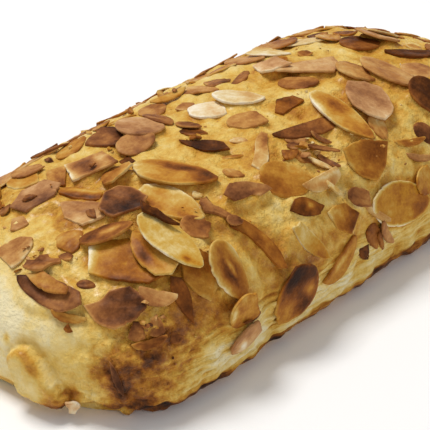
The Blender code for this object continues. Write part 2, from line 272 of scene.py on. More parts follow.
def apply_modifiers(item: bpy.types.Object) -> None:
    """Turn what an object's modifiers make into its own plain mesh.

    Args:
        item: the object.
    """
    graph = bpy.context.evaluated_depsgraph_get()
    made = bpy.data.meshes.new_from_object(item.evaluated_get(graph))
    item.modifiers.clear()
    item.data = made


def frame_at(origin: Vector, along: Vector, across: Vector, up: Vector) -> Matrix:
    """Return the matrix that puts +X, +Y and +Z along three axes, at a place."""
    return Matrix.Translation(origin) @ Matrix((along, across, up)).transposed().to_4x4()


def mean_place(mesh: bpy.types.Mesh) -> Vector:
    """Return the mean place of a mesh's vertices."""
    return sum((vertex.co for vertex in mesh.vertices), Vector()) / len(mesh.vertices)


def face_tree(meshes: Sequence[bpy.types.Mesh]) -> BVHTree:
    """Return the faces of some meshes as one tree that rays can be cast at.

    Args:
        meshes: the meshes.

    Returns:
        The tree.
    """
    places: list[Vector] = []
    faces: list[tuple] = []
    for mesh in meshes:
        start = len(places)
        places += [vertex.co.copy() for vertex in mesh.vertices]
        faces += [tuple(start + k for k in face.vertices) for face in mesh.polygons]
    return BVHTree.FromPolygons(places, faces)


def base_middle() -> Vector:
    """Return the middle of the dough's flat base.

    Returns:
        The middle, at height 0.
    """
    places, _ = mesh_arrays(frame["nodes"][DOUGH_NODE].data)
    base = places[places[:, 2] < 0.01 * MM]
    middle = (base.min(axis=0) + base.max(axis=0)) / 2.0
    return Vector((middle[0], middle[1], 0.0))


BASE = base_middle()


def overhead(along: float, across: float) -> Vector:
    """Return the place above the bar at millimetres from the base's middle."""
    return BASE + Vector((along, across, OVERHEAD_MM)) * MM


# ---------------------------------------------------------------- finishes


@dataclass
class NodeBench:
    """Adds nodes to a shader or geometry tree and joins them."""

    tree: bpy.types.NodeTree

    def add(self, kind: str, **settings: object) -> bpy.types.Node:
        """Add a node of a kind and set its properties.

        Args:
            kind: the node's type.
            settings: its properties.

        Returns:
            The new node.
        """
        node = self.tree.nodes.new(kind)
        for name, value in settings.items():
            setattr(node, name, value)
        return node

    def join(self, source: bpy.types.NodeSocket, target: bpy.types.NodeSocket) -> None:
        """Link an output to an input."""
        self.tree.links.new(source, target)

    def put(self, value: object, target: bpy.types.NodeSocket) -> None:
        """Set an input to a value, or link it to a socket.

        Args:
            value: the value or the socket.
            target: the input.
        """
        if isinstance(value, bpy.types.NodeSocket):
            self.join(value, target)
        else:
            target.default_value = value

    def feed(self, node: bpy.types.Node, **values: object) -> None:
        """Set or link inputs by name; an underscore stands for a space."""
        for name, value in values.items():
            self.put(value, node.inputs[name.replace("_", " ")])

    def sum(self, operation: str, *values: object, clamp: bool = False) -> bpy.types.NodeSocket:
        """Add a Math node.

        Args:
            operation: the node's operation.
            values: numbers or sockets, in order.
            clamp: whether the result stays from 0 to 1.

        Returns:
            The node's output.
        """
        node = self.add("ShaderNodeMath", operation=operation, use_clamp=clamp)
        for socket, value in zip(node.inputs, values):
            self.put(value, socket)
        return node.outputs[0]

    def past(self, value: object, level: float, factor: object, clamp: bool = False) -> bpy.types.NodeSocket:
        """Return how far a value is past a level, times a factor."""
        return self.sum("MULTIPLY", self.sum("SUBTRACT", value, level), factor, clamp=clamp)

    def attribute(self, name: str, output: str = "Fac") -> bpy.types.NodeSocket:
        """Return one of the mesh's own attributes."""
        return self.add("ShaderNodeAttribute", attribute_name=name).outputs[output]

    def clouds(self, place: bpy.types.NodeSocket, **settings: object) -> bpy.types.NodeSocket:
        """Add a Noise Texture and return its value.

        Args:
            place: where the noise is read.
            settings: its other inputs.

        Returns:
            The noise, from 0 to 1.
        """
        node = self.add("ShaderNodeTexNoise")
        self.feed(node, Vector=place, **settings)
        return node.outputs["Fac"]

    def stretched(self, place: bpy.types.NodeSocket, scale: tuple) -> bpy.types.NodeSocket:
        """Return a place scaled along each axis.

        Args:
            place: the place.
            scale: the factor along each axis.

        Returns:
            The scaled place.
        """
        node = self.add("ShaderNodeMapping")
        self.feed(node, Vector=place, Scale=scale)
        return node.outputs["Vector"]

    def bump(self, height: bpy.types.NodeSocket, strength: float, distance: float) -> bpy.types.NodeSocket:
        """Add a Bump and return its normal.

        Args:
            height: the height.
            strength: how strongly it shows.
            distance: how high a height of 1 is, in metres.

        Returns:
            The normal.
        """
        node = self.add("ShaderNodeBump")
        self.feed(node, Height=height, Strength=strength, Distance=distance)
        return node.outputs["Normal"]

    def ramp(self, factor: bpy.types.NodeSocket, stops: Sequence[tuple]) -> bpy.types.NodeSocket:
        """Add a Color Ramp.

        Args:
            factor: what the ramp reads.
            stops: (place, red, green, blue) with colours of 0 to 255.

        Returns:
            The ramp's colour.
        """
        node = self.add("ShaderNodeValToRGB")
        elements = node.color_ramp.elements
        while len(elements) < len(stops):
            elements.new(0.5)
        for element, (place, *colour) in zip(elements, stops):
            element.position = place
            element.color = seen(*colour)
        self.join(factor, node.inputs["Fac"])
        return node.outputs["Color"]


def new_group(name: str, inputs: dict[str, tuple], outputs: dict[str, str]) -> tuple:
    """Start a shader node group.

    Args:
        name: the group's name.
        inputs: socket name to (socket type, default value or None).
        outputs: socket name to socket type.

    Returns:
        The group's bench, its input node and its output node.
    """
    tree = bpy.data.node_groups.new(name, "ShaderNodeTree")
    for socket, (kind, default) in inputs.items():
        made = tree.interface.new_socket(socket, in_out="INPUT", socket_type=kind)
        if default is not None:
            made.default_value = default
    for socket, kind in outputs.items():
        tree.interface.new_socket(socket, in_out="OUTPUT", socket_type=kind)
    bench = NodeBench(tree)
    return bench, bench.add("NodeGroupInput"), bench.add("NodeGroupOutput")


def new_material(name: str) -> tuple[bpy.types.Material, NodeBench, bpy.types.Node]:
    """Start a material and return it, its bench and its shader.

    Args:
        name: the material's name.

    Returns:
        The material, its bench and its shader.
    """
    material = bpy.data.materials.new(name)
    material.use_nodes = True
    return material, NodeBench(material.node_tree), material.node_tree.nodes["Principled BSDF"]


@dataclass(frozen=True)
class BakedSurface:
    """Shared effects of oven heat: uneven browning and a blistered skin."""

    @staticmethod
    def mottle() -> bpy.types.NodeTree:
        """Build the group that gives uneven browning and skin height.

        Returns:
            A group with the inputs Place, Broad Size and Fine Size (bumps per metre), and the
            outputs Browning (about -1 to 1) and Skin (height, 0 to 1).
        """
        bench, given, made = new_group(
            "baked_mottle",
            {
                "Place": ("NodeSocketVector", None),
                "Broad Size": ("NodeSocketFloat", 260.0),
                "Fine Size": ("NodeSocketFloat", 900.0),
            },
            {"Browning": "NodeSocketFloat", "Skin": "NodeSocketFloat"},
        )
        place = given.outputs["Place"]
        broad = bench.clouds(place, Scale=given.outputs["Broad Size"], Detail=3.0, Roughness=0.6)
        fine = bench.clouds(place, Scale=given.outputs["Fine Size"], Detail=4.0, Roughness=0.62)
        both = bench.sum("ADD", bench.sum("MULTIPLY", broad, 0.65), bench.sum("MULTIPLY", fine, 0.35))
        bench.join(bench.past(both, 0.5, 4.0), made.inputs["Browning"])
        bench.join(fine, made.inputs["Skin"])
        return bench.tree


@dataclass(frozen=True)
class DoughFinish:
    """Egg-washed dough: cream where it stayed pale, golden, brown at the rims and corners, with painted
    highlight on raised crust and painted shade in its hollows, on the undercut rim and round the slices.
    """

    mottle: bpy.types.NodeTree
    mottling: float = 0.12
    layer_grain: tuple = (110.0, 110.0, 1350.0)
    stops: tuple = (
        (0.00, 244, 229, 184),
        (0.14, 239, 214, 146),
        (0.30, 230, 193, 101),
        (0.44, 212, 160, 62),
        (0.58, 184, 121, 38),
        (0.72, 138, 78, 20),
        (0.86, 92, 50, 17),
        (1.00, 50, 29, 18),
    )

    def build(self) -> bpy.types.Material:
        """Return the dough's material.

        Returns:
            The material.
        """
        material, bench, shader = new_material("baked_dough")
        place = bench.add("ShaderNodeTexCoord").outputs["Object"]
        skin = bench.add("ShaderNodeGroup", node_tree=self.mottle)
        bench.feed(skin, Place=place, Broad_Size=360.0, Fine_Size=1150.0)
        flaky, blistered = bench.attribute("flaky"), bench.attribute("blistered")
        layers = bench.clouds(bench.stretched(place, self.layer_grain), Scale=1.0, Detail=3.0, Roughness=0.55)
        sheets = bench.past(layers, 0.5, flaky)
        blisters = bench.clouds(place, Scale=640.0, Detail=3.0, Roughness=0.6)
        raised = bench.past(blisters, 0.5, blistered)
        uneven = bench.sum("MULTIPLY", skin.outputs["Browning"], self.mottling)
        # Painted highlight and shade: the colour is lighter where the layers and blisters of the bump rise
        # and darker between them.
        uneven = bench.sum("MULTIPLY_ADD", sheets, -0.8, uneven)
        uneven = bench.sum("MULTIPLY_ADD", raised, -0.55, uneven)
        level = bench.sum("ADD", bench.attribute("bake_and_shade"), uneven, clamp=True)
        matt = bench.sum("MULTIPLY_ADD", flaky, 0.20, 0.40)
        rough = bench.sum("MULTIPLY_ADD", skin.outputs["Skin"], 0.22, matt, clamp=True)
        dabs = bench.clouds(place, Scale=620.0, Detail=2.0, Roughness=0.5)
        glossy = bench.sum("MULTIPLY_ADD", flaky, -0.45, 0.5, clamp=True)
        wash = bench.sum("MULTIPLY", bench.past(dabs, 0.42, 3.2, clamp=True), glossy)
        height = bench.sum("MULTIPLY_ADD", sheets, 2.4, skin.outputs["Skin"])
        height = bench.sum("MULTIPLY_ADD", raised, 2.6, height)
        bench.feed(shader, Base_Color=bench.ramp(level, self.stops), Roughness=rough, Coat_Weight=wash)
        bench.feed(shader, Coat_Roughness=0.25, Specular_IOR_Level=0.18)
        bench.feed(shader, Normal=bench.bump(height, 0.85, 0.55 * MM))
        return material


@dataclass(frozen=True)
class AlmondFinish:
    """Sliced almond of one toast: its colour follows the toast, and its grain runs lengthwise."""

    toast: Toast
    mottle: bpy.types.NodeTree
    colours: bpy.types.NodeTree
    grain: tuple = (190.0, 1300.0, 1.0)
    least_roughness: float = 0.30

    @staticmethod
    def toast_colours() -> bpy.types.NodeTree:
        """Build the group that turns a toast level into almond colour.

        Returns:
            A group with the inputs Toast and Blush (0 for amber, 1 for tan) and the output Color.
        """
        bench, given, made = new_group(
            "toast_colours",
            {"Toast": ("NodeSocketFloat", 0.4), "Blush": ("NodeSocketFloat", 0.0)},
            {"Color": "NodeSocketColor"},
        )
        amber = (
            (0.00, 243, 230, 200),
            (0.14, 226, 202, 138),
            (0.28, 206, 166, 78),
            (0.42, 192, 133, 40),
            (0.56, 163, 98, 27),
            (0.70, 128, 69, 18),
            (0.84, 86, 45, 14),
            (1.00, 46, 24, 12),
        )
        tan = (
            (0.00, 244, 232, 210),
            (0.14, 230, 208, 168),
            (0.28, 215, 174, 124),
            (0.42, 194, 144, 95),
            (0.56, 164, 112, 70),
            (0.70, 126, 81, 53),
            (0.84, 84, 50, 31),
            (1.00, 46, 29, 24),
        )
        mix = bench.add("ShaderNodeMix", data_type="RGBA")
        bench.join(given.outputs["Blush"], mix.inputs[0])
        bench.join(bench.ramp(given.outputs["Toast"], amber), mix.inputs[6])
        bench.join(bench.ramp(given.outputs["Toast"], tan), mix.inputs[7])
        bench.join(mix.outputs[2], made.inputs["Color"])
        return bench.tree

    def build(self) -> bpy.types.Material:
        """Return the material of slices of this toast.

        Returns:
            The material.
        """
        material, bench, shader = new_material(f"almond_{self.toast.word}")
        place = bench.add("ShaderNodeTexCoord").outputs["Object"]
        level = bench.sum("ADD", bench.attribute("toast"), bench.attribute("toast_shift"))
        skin = bench.add("ShaderNodeGroup", node_tree=self.mottle)
        bench.feed(skin, Place=place, Broad_Size=420.0, Fine_Size=1700.0)
        on_slice = bench.stretched(bench.attribute("slice_place", "Vector"), self.grain)
        grain = bench.clouds(on_slice, Scale=1.0, Detail=2.0, Roughness=0.5)
        uneven = bench.sum("MULTIPLY_ADD", skin.outputs["Browning"], 0.15, bench.past(grain, 0.5, 0.09))
        total = bench.sum("ADD", level, uneven, clamp=True)
        colour = bench.add("ShaderNodeGroup", node_tree=self.colours)
        bench.feed(colour, Toast=total, Blush=bench.attribute("blush"))
        rough = bench.sum("MULTIPLY_ADD", skin.outputs["Skin"], 0.24, self.least_roughness)
        height = bench.sum("MULTIPLY_ADD", skin.outputs["Skin"], 1.1, grain)
        bench.feed(shader, Base_Color=colour.outputs["Color"], Roughness=rough)
        bench.feed(shader, Coat_Weight=self.toast.gloss, Coat_Roughness=0.3, Specular_IOR_Level=0.05)
        bench.feed(shader, Normal=bench.bump(height, 0.5, 0.18 * MM))
        return material


# ---------------------------------------------------------------- dough


@dataclass
class DoughBar:
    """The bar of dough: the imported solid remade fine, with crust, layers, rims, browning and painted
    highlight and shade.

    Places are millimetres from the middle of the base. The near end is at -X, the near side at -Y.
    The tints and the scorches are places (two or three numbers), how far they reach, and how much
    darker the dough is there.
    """

    voxel: float = 0.62 * MM
    smoothing: int = 26
    crust_lumps: tuple = ((9.0, 0.28), (4.4, 0.42), (2.3, 0.30))
    layer_pitch: float = 1.5
    layer_depth: float = 0.45
    corner_roughness: tuple = ((3.6, 0.55), (1.9, 0.42))
    lobe: tuple = (
        (-8.6, 3.4), (-7.7, 5.6), (-6.7, 8.0), (-6.3, 10.8), (-8.2, 12.7), (-10.0, 12.9), (-12.0, 11.4),
        (-13.9, 9.0), (-15.7, 6.7), (-17.2, 4.4), (-17.0, 1.6), (-13.1, 2.6),
    )
    lift_limit: float = 3.1 * MM
    drop_limit: float = 1.6 * MM
    sunk: float = 0.04 * MM
    tints: tuple = (
        ((30.0, -12.0), (16.0, 9.0), 0.08),
        ((10.0, -20.0), (9.0, 6.0), 0.05),
        ((-12.0, -26.5), (20.0, 6.0), -0.11),
        ((20.0, -7.0), (9.0, 5.0), -0.08),
        ((-50.0, -29.0), (12.0, 5.0), 0.13),
        ((-67.0, -17.0, 19.0), (5.0, 6.0, 5.0), 0.09),
        ((-67.5, -22.0, 14.0), (5.0, 5.0, 5.0), 0.13),
        ((-65.0, -24.5, 16.5), (3.2, 3.2, 3.2), -0.12),
        ((-71.0, -4.0, 18.5), (6.0, 9.0, 5.0), -0.14),
    )
    scorches: tuple = (
        ((-60.2, -29.5, 13.4), 1.6, 0.18),
        ((-62.8, -28.0, 13.2), 0.8, -0.22),
        ((-62.9, -29.4, 5.0), 1.5, 0.22),
        ((-66.7, -25.8, 10.0), 2.2, 0.20),
        ((-65.6, -26.8, 6.0), 2.0, 0.2),
        ((-70.6, -18.3, 5.4), 1.7, 0.4),
        ((-74.0, -4.6, 13.2), 0.9, 0.42),
    )

    def refined(self) -> bpy.types.Object:
        """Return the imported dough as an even, fine, smooth mesh.

        Returns:
            The new object.
        """
        mesh = frame["nodes"][DOUGH_NODE].data.copy()
        builder = welded(mesh)
        builder.to_mesh(mesh)
        builder.free()
        item = new_object("dough_crust", mesh)
        remesh = item.modifiers.new("even", "REMESH")
        remesh.mode = "VOXEL"
        remesh.voxel_size = self.voxel
        apply_modifiers(item)
        return item

    @staticmethod
    def neighbour_sums(mesh: bpy.types.Mesh) -> tuple[np.ndarray, np.ndarray]:
        """Return the mesh's edges and how many edges meet at each vertex.

        Args:
            mesh: the mesh.

        Returns:
            One row of two vertices for each edge, and one count for each vertex.
        """
        edges = np.empty(len(mesh.edges) * 2, int)
        mesh.edges.foreach_get("vertices", edges)
        edges = edges.reshape(-1, 2)
        return edges, np.bincount(edges.ravel(), minlength=len(mesh.vertices))

    @staticmethod
    def averaged(edges: np.ndarray, counts: np.ndarray, values: np.ndarray) -> np.ndarray:
        """Return the mean of each vertex's neighbours."""
        total = np.bincount(edges[:, 0], values[edges[:, 1]], len(values))
        return (total + np.bincount(edges[:, 1], values[edges[:, 0]], len(values))) / counts

    def smooth(self, mesh: bpy.types.Mesh) -> None:
        """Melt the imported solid's facets, less so round the folded flap.

        Args:
            mesh: the fine mesh, which is changed.
        """
        edges, counts = self.neighbour_sums(mesh)
        places, _ = mesh_arrays(mesh)
        local = (places - np.array(BASE)) / MM
        flap = np.exp(-(((local[:, 1] + 11.0) / 8.5) ** 4)) * (local[:, 0] < -66.0) * (local[:, 2] < 15.0)
        share = (0.5 * (1.0 - 0.8 * flap))[:, None]
        grounded = places[:, 2] < 0.2 * MM
        for _ in range(self.smoothing):
            mean = np.column_stack([self.averaged(edges, counts, axis) for axis in places.T])
            moved = places + (mean - places) * share
            moved[grounded, 2] = places[grounded, 2]
            places = moved
        set_places(mesh, places)

    def masks(self, local: np.ndarray, normals: np.ndarray) -> dict[str, np.ndarray]:
        """Return where the dough is upright, side, wall, near end, near corner and lower rim.

        Args:
            local: places in millimetres from the base's middle.
            normals: the normal at each place.

        Returns:
            One share from 0 to 1 for each place, by name.
        """
        x, y, z = local.T
        upright = 1.0 - smoothstep(0.35, 0.75, normals[:, 2])
        side = smoothstep(0.45, 0.8, np.abs(normals[:, 1])) * upright
        wall = upright * smoothstep(1.2, 3.0, z) * (1.0 - smoothstep(12.0, 16.0, z))
        near_end = smoothstep(-60.0, -68.0, x) * smoothstep(-26.0, -19.0, y)
        corner = np.exp(-(((x + 64.0) / 10.5) ** 2) - ((y + 29.0) / 7.5) ** 2)
        corner = corner * (1.0 - smoothstep(15.0, 22.0, z))
        rim = (1.0 - smoothstep(2.0, 4.4, z)) * smoothstep(-0.8, -0.1, normals[:, 2] + 0.35)
        return {
            "upright": upright,
            "side": side,
            "wall": wall,
            "near_end": near_end,
            "corner": np.clip(corner * 1.25, 0.0, 1.0),
            "rim": rim,
        }

    def lumps(self, local: np.ndarray, masks: dict[str, np.ndarray]) -> np.ndarray:
        """Return the crust's uneven blisters, in millimetres: above zero on a crest."""
        calm = 1.0 - 0.45 * masks["near_end"]
        return sum(depth * lattice(local, size, 3.0 + size) for size, depth in self.crust_lumps) * calm

    def relief(self, local: np.ndarray, masks: dict[str, np.ndarray]) -> np.ndarray:
        """Return how far each place of the crust stands out, in millimetres.

        Args:
            local: places in millimetres from the base's middle.
            masks: the shares from masks().

        Returns:
            One height for each place.
        """
        out = self.lumps(local, masks)
        out = out + self.layer_depth * self.layers(local, masks)
        rough = sum(
            depth * lattice(local * (1.0, 1.0, 1.7), size, 30.0 + size)
            for size, depth in self.corner_roughness
        )
        out = out + rough * masks["corner"]
        end = local[:, 1:]
        tuck = blob(end, (-21.5, 0.5), (5.0, 3.2)) + 0.9 * blob(end, (-9.0, 0.2), (5.0, 2.4))
        out = out - 1.5 * tuck * (local[:, 0] < -60.0)
        ragged = 0.35 * lattice(local, 3.0, 77.0) * (1.0 - smoothstep(1.5, 3.5, local[:, 2]))
        out = out + ragged * masks["upright"]
        inside = self.lobe_depth(local)
        out = out + 0.55 * smoothstep(-0.3, 0.6, inside) - 0.75 * ridge(inside, -0.9, 0.7)
        out = out + 0.35 * ridge(inside, 0.9, 0.8)
        return out * smoothstep(0.02, 0.7, local[:, 2])

    def layers(self, local: np.ndarray, masks: dict[str, np.ndarray]) -> np.ndarray:
        """Return the baked layers that show on the walls: above zero on a layer, below between.

        Args:
            local: places in millimetres from the base's middle.
            masks: the shares from masks().

        Returns:
            One value for each place, about -1 to 1.
        """
        x, y, z = local.T
        bend = 0.55 * lattice(local * (0.2, 0.2, 0.6), 7.0, 21.0) + 0.16 * lattice(local, 4.0, 4.0)
        level = z + bend + 0.10 * np.clip(-35.0 - x, 0.0, None) * masks["side"]
        sheets = 1.0 - 2.0 * np.abs(np.sin(math.pi * level / self.layer_pitch)) ** 0.6
        patchy = np.clip(0.55 + 0.6 * lattice(local * (0.3, 0.3, 0.9), 5.0, 8.0), 0.0, 1.0)
        strong = np.maximum(masks["side"] * 0.9, 0.25) * (1.0 - 0.75 * masks["corner"])
        strong = strong * (1.0 - 0.4 * (y > 0.0)) * (1.0 - 0.45 * smoothstep(-35.0, -5.0, x))
        return -sheets * masks["wall"] * strong * patchy

    def lobe_depth(self, local: np.ndarray) -> np.ndarray:
        """Return how far inside the folded lobe each place of the near end is, in millimetres.

        Args:
            local: places in millimetres from the base's middle.

        Returns:
            The depth: negative outside the lobe, and far below zero off the near end.
        """
        depth = np.full(len(local), -99.0)
        near = np.nonzero((local[:, 0] < -64.0) & (local[:, 2] < 17.0))[0]
        spots = local[near, 1:]
        corners = np.array(self.lobe)
        nearest = np.full(len(near), 99.0)
        within = np.zeros(len(near), bool)
        for k, end in enumerate(corners):
            start = corners[k - 1]
            edge = end - start
            share = np.clip(((spots - start) @ edge) / (edge @ edge), 0.0, 1.0)
            nearest = np.minimum(nearest, np.linalg.norm(spots - start - share[:, None] * edge, axis=1))
            crosses = (start[1] > spots[:, 1]) != (end[1] > spots[:, 1])
            rise = edge[1] if abs(edge[1]) > 1e-9 else 1e-9
            meets = start[0] + (spots[:, 1] - start[1]) / rise * edge[0]
            within ^= crosses & (spots[:, 0] < meets)
        depth[near] = np.where(within, nearest, -nearest)
        return depth

    def rise_to(self, places: np.ndarray, normals: np.ndarray, slices: BVHTree) -> np.ndarray:
        """Return how far the dough swells or sinks to meet the slices baked onto it, in metres.

        Args:
            places: the vertices, in metres.
            normals: the normal at each vertex.
            slices: the large slices.

        Returns:
            One distance for each vertex.
        """
        lift = np.zeros(len(places))
        for k in np.nonzero(normals[:, 2] > -0.2)[0]:
            outward = Vector(normals[k])
            start = Vector(places[k]) - outward * self.drop_limit
            hit, _, _, distance = slices.ray_cast(start, outward, self.lift_limit + self.drop_limit)
            if hit is not None:
                gap = distance - self.drop_limit
                share = 1.0 - smoothstep(0.55 * self.lift_limit, self.lift_limit, np.array(gap))
                lift[k] = (gap + self.sunk) * share
        return lift

    def spread(self, mesh: bpy.types.Mesh, values: np.ndarray, steps: int) -> np.ndarray:
        """Return a value averaged over its neighbours a few times.

        Args:
            mesh: the mesh.
            values: one value for each vertex.
            steps: how many times.

        Returns:
            The averaged values.
        """
        edges, counts = self.neighbour_sums(mesh)
        for _ in range(steps):
            values = 0.5 * values + 0.5 * self.averaged(edges, counts, values)
        return values

    def browning(self, local: np.ndarray, masks: dict[str, np.ndarray]) -> np.ndarray:
        """Return how dark each place of the dough is painted, from 0 to 1: how far it is baked, with painted
        highlight on the crust's crests and painted shade in its hollows, between the wall's layers, on the
        undercut lower rim and in the flap's crease.

        Args:
            local: places in millimetres from the base's middle.
            masks: the shares from masks().

        Returns:
            One level for each place.
        """
        x, y, z = local.T
        bake_and_shade = 0.355 + 0.075 * lattice(local, 15.0, 2.0) + 0.06 * lattice(local, 5.5, 5.0)
        # Painted highlight and shade: the crests of the crust's lumps are painted lighter and its hollows
        # darker.
        bake_and_shade = bake_and_shade - 0.13 * self.lumps(local, masks)
        bake_and_shade = bake_and_shade + sum(depth * blob(local, middle, reach) for middle, reach, depth in self.tints)
        bake_and_shade = bake_and_shade + sum(depth * blob(local, middle, (reach,) * 3) for middle, reach, depth in self.scorches)
        far_corners = np.clip(np.abs(x) - 52.0, 0, None) * np.clip(np.abs(y) - 18.0, 0, None) / 150.0
        far_corners = far_corners * ((x > 0.0) | (y > 0.0))
        bake_and_shade = bake_and_shade + 0.3 * np.clip(far_corners, 0.0, 1.0) * (1.0 - masks["near_end"])
        cream = masks["near_end"] * (1.0 - smoothstep(19.0, 27.0, z)) * (1.0 - masks["corner"])
        bake_and_shade = bake_and_shade - 0.21 * cream
        band = masks["side"] * smoothstep(2.0, 4.0, z) * (1.0 - smoothstep(9.0, 13.0, z))
        bake_and_shade = bake_and_shade - (0.14 - 0.13 * smoothstep(-22.0, 18.0, x)) * band * (1.0 - masks["corner"])
        edge = masks["side"] * smoothstep(10.0, 13.0, z) * (1.0 - smoothstep(17.0, 20.0, z)) * (y < 0.0)
        bake_and_shade = bake_and_shade + (0.10 + 0.08 * lattice(local, 3.4, 27.0)) * edge
        streaks = lattice(local * (0.25, 0.25, 1.0), 1.5, 15.0)
        bake_and_shade = bake_and_shade + 0.08 * streaks * masks["wall"] * (1.0 - 0.7 * cream)
        # Darker between the wall's layers and lighter on them: the lamination's own lines, with painted shade
        # in the grooves.
        bake_and_shade = bake_and_shade - 0.17 * self.layers(local, masks) * (1.0 - 0.5 * cream)
        blotch = 0.5 + 0.35 * lattice(local, 5.0, 41.0) + 0.3 * lattice(local, 2.2, 43.0)
        bake_and_shade = bake_and_shade + masks["corner"] * (0.13 + 0.06 * smoothstep(0.3, 0.9, blotch))
        # The lower rim is painted darker: its browned base crust, with painted shade on the undercut.
        rim = 0.38 + 0.34 * masks["side"] * (y < 0.0)
        return bake_and_shade + self.flap_browning_and_shade(local) + rim * masks["rim"] * (0.8 + 0.3 * streaks)

    def flap_browning_and_shade(self, local: np.ndarray) -> np.ndarray:
        """Return the folded lobe's own browning (its lip, its lower tip and a patch inside) and the painted
        shadow in the crease just outside it.

        Args:
            local: places in millimetres from the base's middle.

        Returns:
            How much more each place is baked.
        """
        end = local[:, 1:]
        inside = self.lobe_depth(local)
        lip = ridge(inside, 0.5, 0.75) * (0.2 * smoothstep(6.5, 10.5, local[:, 2]) + 0.12)
        # Painted shadow in the crease just outside the lobe's edge.
        crease_shade = 0.12 * ridge(inside, -0.8, 0.6)
        tip = 0.36 * blob(end, (-15.8, 4.6), (1.8, 2.6)) * (inside > -0.6)
        patch = 0.1 * blob(end, (-10.6, 10.2), (2.6, 2.4)) * (inside > 0.0)
        warm = (0.05 + 0.06 * lattice(local, 2.2, 51.0)) * smoothstep(0.0, 0.8, inside)
        return np.where(local[:, 0] < -64.0, lip + crease_shade + tip + patch + warm, 0.0)

    def build(self, slices: BVHTree, material: bpy.types.Material) -> bpy.types.Object:
        """Make the finished dough.

        Args:
            slices: the large slices that the dough swells up to.
            material: the dough's finish.

        Returns:
            The finished piece.
        """
        item = self.refined()
        mesh = item.data
        self.smooth(mesh)
        places, normals = mesh_arrays(mesh)
        local = (places - np.array(BASE)) / MM
        masks = self.masks(local, normals)
        places = places + normals * (self.relief(local, masks) * MM)[:, None]
        places[:, 2] = np.maximum(places[:, 2], 0.0)
        set_places(mesh, places)
        places, normals = mesh_arrays(mesh)
        lift = self.rise_to(places, normals, slices)
        lift = np.minimum(self.spread(mesh, lift, 4), np.where(lift < 0.0, lift, np.inf))
        set_places(mesh, places + normals * lift[:, None])
        # Painted contact shade: the dough is painted darker where it swells up to the slices and round them.
        slice_contact_shade = self.spread(mesh, (np.abs(lift) > 0.05 * MM).astype(float), 5)
        bake_and_shade = self.browning(local, masks) + 0.10 * smoothstep(0.05, 0.6, slice_contact_shade)
        set_floats(mesh, "bake_and_shade", np.clip(bake_and_shade, 0.0, 1.0))
        flaky = masks["wall"] * (0.35 + 0.65 * masks["side"]) * (1.0 - 0.8 * masks["corner"])
        set_floats(mesh, "flaky", flaky * (1.0 - 0.6 * masks["near_end"]))
        set_floats(mesh, "blistered", np.clip(0.6 + masks["corner"] - 0.25 * masks["near_end"], 0.0, 1.0))
        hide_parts(DOUGH_NODE)
        dress(item, material)
        return item


# ---------------------------------------------------------------- almond slices


@dataclass(frozen=True)
class Mark:
    """A patch on a slice, in shares of its half length and half width, and its extra toast.

    Along runs towards the slice's right end as seen from the front, and across runs away.
    """

    along: float
    across: float
    reach_along: float
    reach_across: float
    depth: float


